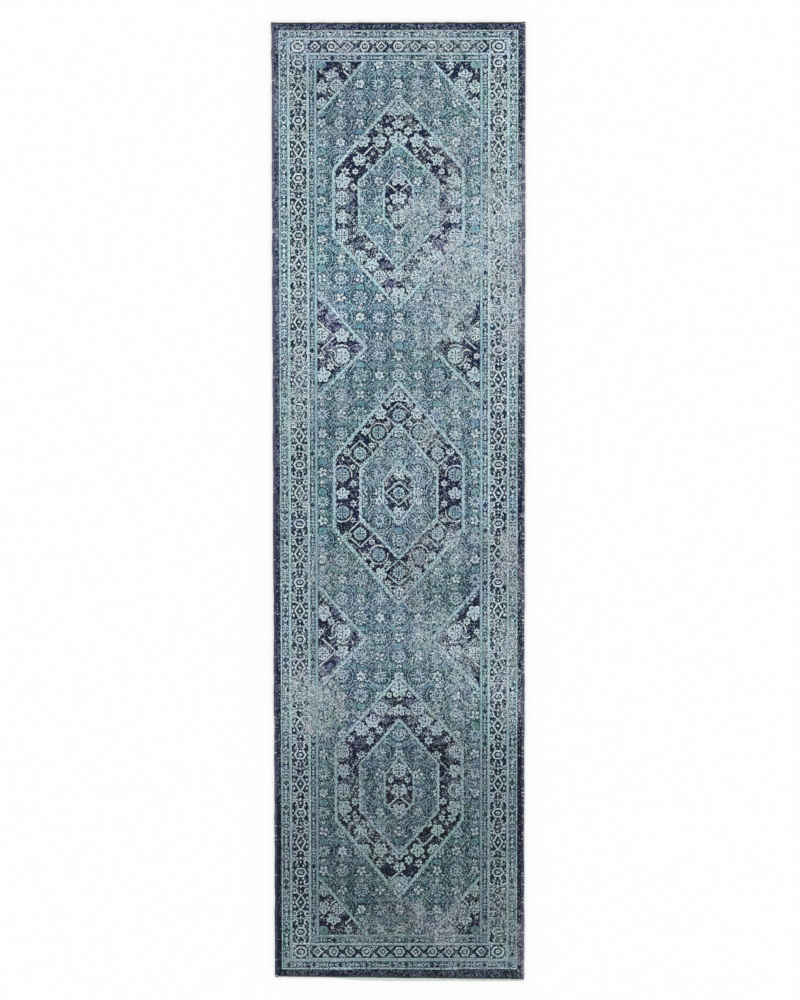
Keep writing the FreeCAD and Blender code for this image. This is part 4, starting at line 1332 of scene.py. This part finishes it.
# ------------------------------------------------------------------ layers underneath
def slab(name, outline_fn, z0, z1, nx, ny, mat, ripple=0.0, seed=1, fine=0.0):
    """A thin closed sheet. outline_fn gives (X, Y) grids from a and b in 0..1."""
    a, b = np.meshgrid(np.linspace(0, 1, nx), np.linspace(0, 1, ny))
    X, Y = outline_fn(a, b)
    g = np.random.default_rng(seed)
    bumpy = fine * g.uniform(-1, 1, X.shape)
    top = np.stack([X, Y, np.full(X.shape, z1)], -1).reshape(-1, 3)
    bottom = np.stack([X, Y, z0 + np.abs(bumpy)], -1).reshape(-1, 3)
    idx = np.arange(nx * ny).reshape(ny, nx)
    up = np.stack([idx[:-1, :-1], idx[:-1, 1:], idx[1:, 1:], idx[1:, :-1]], -1).reshape(-1, 4)
    off = nx * ny
    dn = up[:, ::-1] + off
    rim = np.concatenate([idx[0, :], idx[1:, -1], idx[-1, -2::-1], idx[-2:0:-1, 0]])
    nxt = np.roll(rim, -1)
    sk = np.stack([rim, rim + off, nxt + off, nxt], -1)
    return new_object(name, np.concatenate([top, bottom]), np.concatenate([up, dn, sk]), mat)


def ground_outline(a, b):
    x = gr_lo[0] + (gr_hi[0] - gr_lo[0]) * a
    y0 = foot_line(x) + (HEAD_Y - gr_hi[1])
    return x, y0 + (gr_hi[1] - y0) * b


ground_mat = woven_material("ground_weave_mat", (0.30, 0.25, 0.17), (0.55, 0.48, 0.36), 0.0025)
ground = slab("ground_cloth", ground_outline, gr_lo[2], gr_hi[2], 160, 600, ground_mat)
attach(ground, "root")
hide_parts("ground_weave")
def latex_outline(a, b):
    return la_lo[0] + (la_hi[0] - la_lo[0]) * a, la_lo[1] + (la_hi[1] - la_lo[1]) * b


latex_mat = woven_material("latex_back_mat", (0.46, 0.42, 0.34), (0.62, 0.58, 0.49), 0.0025, rough=(0.6, 0.85), dist=0.0003)
latex = slab("latex_back", latex_outline, la_lo[2], la_hi[2], 155, 590, latex_mat, fine=0.00008, seed=12)
# the seat of the label
co = np.empty(len(latex.data.vertices) * 3, np.float32)
latex.data.vertices.foreach_get("co", co)
co = co.reshape(-1, 3)
seat = ((co[:, 2] < 0.0004) & (co[:, 0] > lb_lo[0] - 0.004) & (co[:, 0] < lb_hi[0] + 0.004)
        & (co[:, 1] > lb_lo[1] - 0.004) & (co[:, 1] < lb_hi[1] + 0.004))
co[seat, 2] = lb_hi[2] + 0.00004
latex.data.vertices.foreach_set("co", co.ravel())
latex.data.update()
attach(latex, "root")
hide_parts("latex_backing")


def tape_head_outline(a, b):
    x = th_lo[0] + (th_hi[0] - th_lo[0]) * a
    y = th_lo[1] + (th_hi[1] - th_lo[1]) * b
    return x, y


# the foot tape's outer edge: off square, so it shows past the end from about a quarter of the width on
TAPE_X = np.array([tf_lo[0], -0.230, -0.110, 0.060, tf_hi[0]])
TAPE_Y = tf_lo[1] + np.array([0.017, 0.0085, -0.0012, -0.0028, -0.0026])
edge_wob = rough_edge(400, 51, 0.0005, 26)


def tape_foot_outline(a, b):
    x = tf_lo[0] + (tf_hi[0] - tf_lo[0]) * a
    y0 = np.interp(x, TAPE_X, TAPE_Y) + np.interp(a, np.linspace(0, 1, 400), edge_wob) + 0.0005
    return x, y0 + (tf_hi[1] - y0) * b


tape_mat = woven_material("binding_tape_mat", (0.60, 0.71, 0.66), (0.84, 0.92, 0.86), 0.0011, dist=0.0004)
for nm, fn, node, size in (("tape_head", tape_head_outline, "end_tape_head", (th_hi[0] - th_lo[0], th_hi[1] - th_lo[1])),
                           ("tape_foot", tape_foot_outline, "end_tape_foot", (tf_hi[0] - tf_lo[0], tf_hi[1] - tf_lo[1] - 0.002))):
    lo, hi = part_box(node)
    t = slab(nm, fn, lo[2], hi[2], 500, 12, tape_mat, fine=0.00005, seed=31)
    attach(t, "root")
    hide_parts(node)


def twisted(name, path_from, path_to, radius, lay, mat, sides=12, step=0.0012, depth=0.16):
    """A two-ply cord laid straight from one point to another."""
    a, b = np.array(path_from), np.array(path_to)
    L = np.linalg.norm(b - a)
    n = int(L / step) + 1
    s = np.linspace(0, L, n)
    th = np.linspace(0, 2 * math.pi, sides, endpoint=False)
    r = radius * (1 - depth * np.abs(np.sin(th[None, :] - 2 * math.pi * s[:, None] / lay)) ** 3)
    P = np.stack([a[0] + r * np.cos(th)[None, :], np.repeat((a[1] + (b[1] - a[1]) * s / L)[:, None], sides, 1),
                  a[2] + r * np.sin(th)[None, :]], -1)
    idx = np.arange(n * sides).reshape(n, sides)
    nx_ = np.roll(idx, -1, 1)
    q = np.stack([idx[:-1], idx[1:], nx_[1:], nx_[:-1]], -1).reshape(-1, 4)
    faces = q.tolist() + [list(idx[0]), list(idx[-1][::-1])]
    ob = new_object(name, P.reshape(-1, 3), faces, mat)
    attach(ob, "root")
    return ob


cord_mat = thread_material("jute_cord_mat", (0.52, 0.44, 0.31))
for nm, node in (("cord_left", "filler_cord_left"), ("cord_right", "filler_cord_right")):
    lo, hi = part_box(node)
    cx_, cz_ = (lo[0] + hi[0]) / 2, (lo[2] + hi[2]) / 2
    c = twisted(nm, (cx_, hi[1], cz_), (cx_, lo[1], cz_), (hi[0] - lo[0]) / 2, 0.011, cord_mat)
    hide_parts(node)


def stitch_group(name, node, count, mat):
    """Separate runs of two-ply thread, each a low arch with tucked ends."""
    lo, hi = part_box(node)
    yc, w, tall = (lo[1] + hi[1]) / 2, (hi[1] - lo[1]) / 2, hi[2] - lo[2]
    g = np.random.default_rng(61)
    length = {102: 0.0049, 12: 0.0029}[count]
    first, last = lo[0] + length / 2, hi[0] - length / 2
    V, F = [], []
    m, k = 9, 8
    for i in range(count):
        xc = first + (last - first) * i / (count - 1)
        s = np.linspace(0, 1, m)
        th = np.linspace(0, 2 * math.pi, k, endpoint=False)
        body = np.sqrt(np.clip(1 - (2 * s - 1) ** 6, 0.04, 1))
        ply = 1 - 0.14 * np.abs(np.sin(th[None, :] + 2 * math.pi * s[:, None] * 2.2))
        y = yc + w * 0.92 * body[:, None] * np.cos(th)[None, :] * ply + g.uniform(-1, 1) * w * 0.06
        z = (lo[2] + hi[2]) / 2 + tall * 0.48 * body[:, None] * np.sin(th)[None, :] * ply
        x = np.repeat((xc + (s - 0.5) * length * 0.98)[:, None], k, 1)
        base = sum(len(v) for v in V)
        V.append(np.stack([x, y, z], -1).reshape(-1, 3))
        idx = np.arange(m * k).reshape(m, k) + base
        nx_ = np.roll(idx, -1, 1)
        F += np.stack([idx[:-1], nx_[:-1], nx_[1:], idx[1:]], -1).reshape(-1, 4).tolist()
        F += [list(map(int, idx[0][::-1])), list(map(int, idx[-1]))]
    ob = new_object(name, np.concatenate(V), F, mat)
    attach(ob, "root")
    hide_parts(node)
    return ob


seam_mat = thread_material("seam_thread_mat", (0.62, 0.70, 0.66))
stitch_group("seam_head", "tape_stitches_head", 102, seam_mat)
stitch_group("seam_foot", "tape_stitches_foot", 102, seam_mat)
tack_mat = thread_material("label_thread_mat", (0.75, 0.75, 0.73))
stitch_group("label_tacks", "label_stitches", 12, tack_mat)


def label_outline(a, b):
    x = lb_lo[0] + (lb_hi[0] - lb_lo[0]) * a
    y = lb_lo[1] + (lb_hi[1] - lb_lo[1]) * b
    return x, y


label_mat = woven_material("label_satin_mat", (0.78, 0.78, 0.76), (0.88, 0.88, 0.86), 0.0006, rough=(0.4, 0.6), dist=0.0002)
label = slab("blank_label", label_outline, lb_lo[2], lb_hi[2], 60, 40, label_mat, fine=0.00003, seed=33)
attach(label, "root")
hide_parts("care_label")

# ------------------------------------------------------------------ floor, light, camera
floor_mat = Mat("pale_floor", rough=0.9, spec=0.1)
floor_grain = floor_mat.noise(floor_mat.mapped((30, 30, 30)), detail=2.0)
floor_mat.done(floor_mat.mix(floor_grain, (0.965, 0.965, 0.965, 1), (0.98, 0.98, 0.98, 1)),
               floor_mat.span(floor_grain, 0.3, 0.7, 0.85, 0.95))
fl = new_object("floor", np.array([(-60, -60, -0.0002), (60, -60, -0.0002), (60, 60, -0.0002), (-60, 60, -0.0002)]),
                [[0, 1, 2, 3]], floor_mat.m)

world = bpy.data.worlds.new("studio")
bpy.context.scene.world = world
world.use_nodes = True
bg = world.node_tree.nodes["Background"]
bg.inputs["Color"].default_value = (1.0, 1.0, 1.0, 1)
bg.inputs["Strength"].default_value = 0.80


def area(name, loc, size, power, target=(0, 0, 0)):
    li = bpy.data.lights.new(name, "AREA")
    li.shape = "RECTANGLE"
    li.size, li.size_y = size
    li.energy = power
    ob = bpy.data.objects.new(name, li)
    ob.location = loc
    d = [t - l for t, l in zip(target, loc)]
    yaw = math.atan2(d[0], -d[1]) if abs(d[0]) + abs(d[1]) > 1e-6 else 0.0
    tilt = math.acos(-d[2] / math.sqrt(sum(c * c for c in d)))
    ob.rotation_euler = (tilt, 0, yaw + math.pi) if abs(d[0]) + abs(d[1]) > 1e-6 else (0, 0, 0)
    ob.visible_camera = False
    bpy.context.scene.collection.objects.link(ob)
    return ob


def sun(name, tilt_x, tilt_y, strength, angle):
    li = bpy.data.lights.new(name, "SUN")
    li.energy = strength
    li.angle = math.radians(angle)
    ob = bpy.data.objects.new(name, li)
    ob.rotation_euler = (math.radians(tilt_x), math.radians(tilt_y), 0)
    bpy.context.scene.collection.objects.link(ob)
    return ob


sun("soft_key", -38, -22, 0.95, 35)

cam_data = bpy.data.cameras.new("camera")
cam_data.sensor_width = 36.0
cam_data.lens = 68.87
cam_data.clip_end = 500
cam = bpy.data.objects.new("camera", cam_data)
cam.location = (0.0238, 0.2775, 6.0)
cam.rotation_euler = (math.radians(-2.454), math.radians(0.190), math.radians(-0.067))
bpy.context.scene.collection.objects.link(cam)
bpy.context.scene.camera = cam

vs = bpy.context.scene.view_settings
vs.view_transform = "Standard"
vs.look = "None"
vs.exposure = 0.0
vs.gamma = 1.0
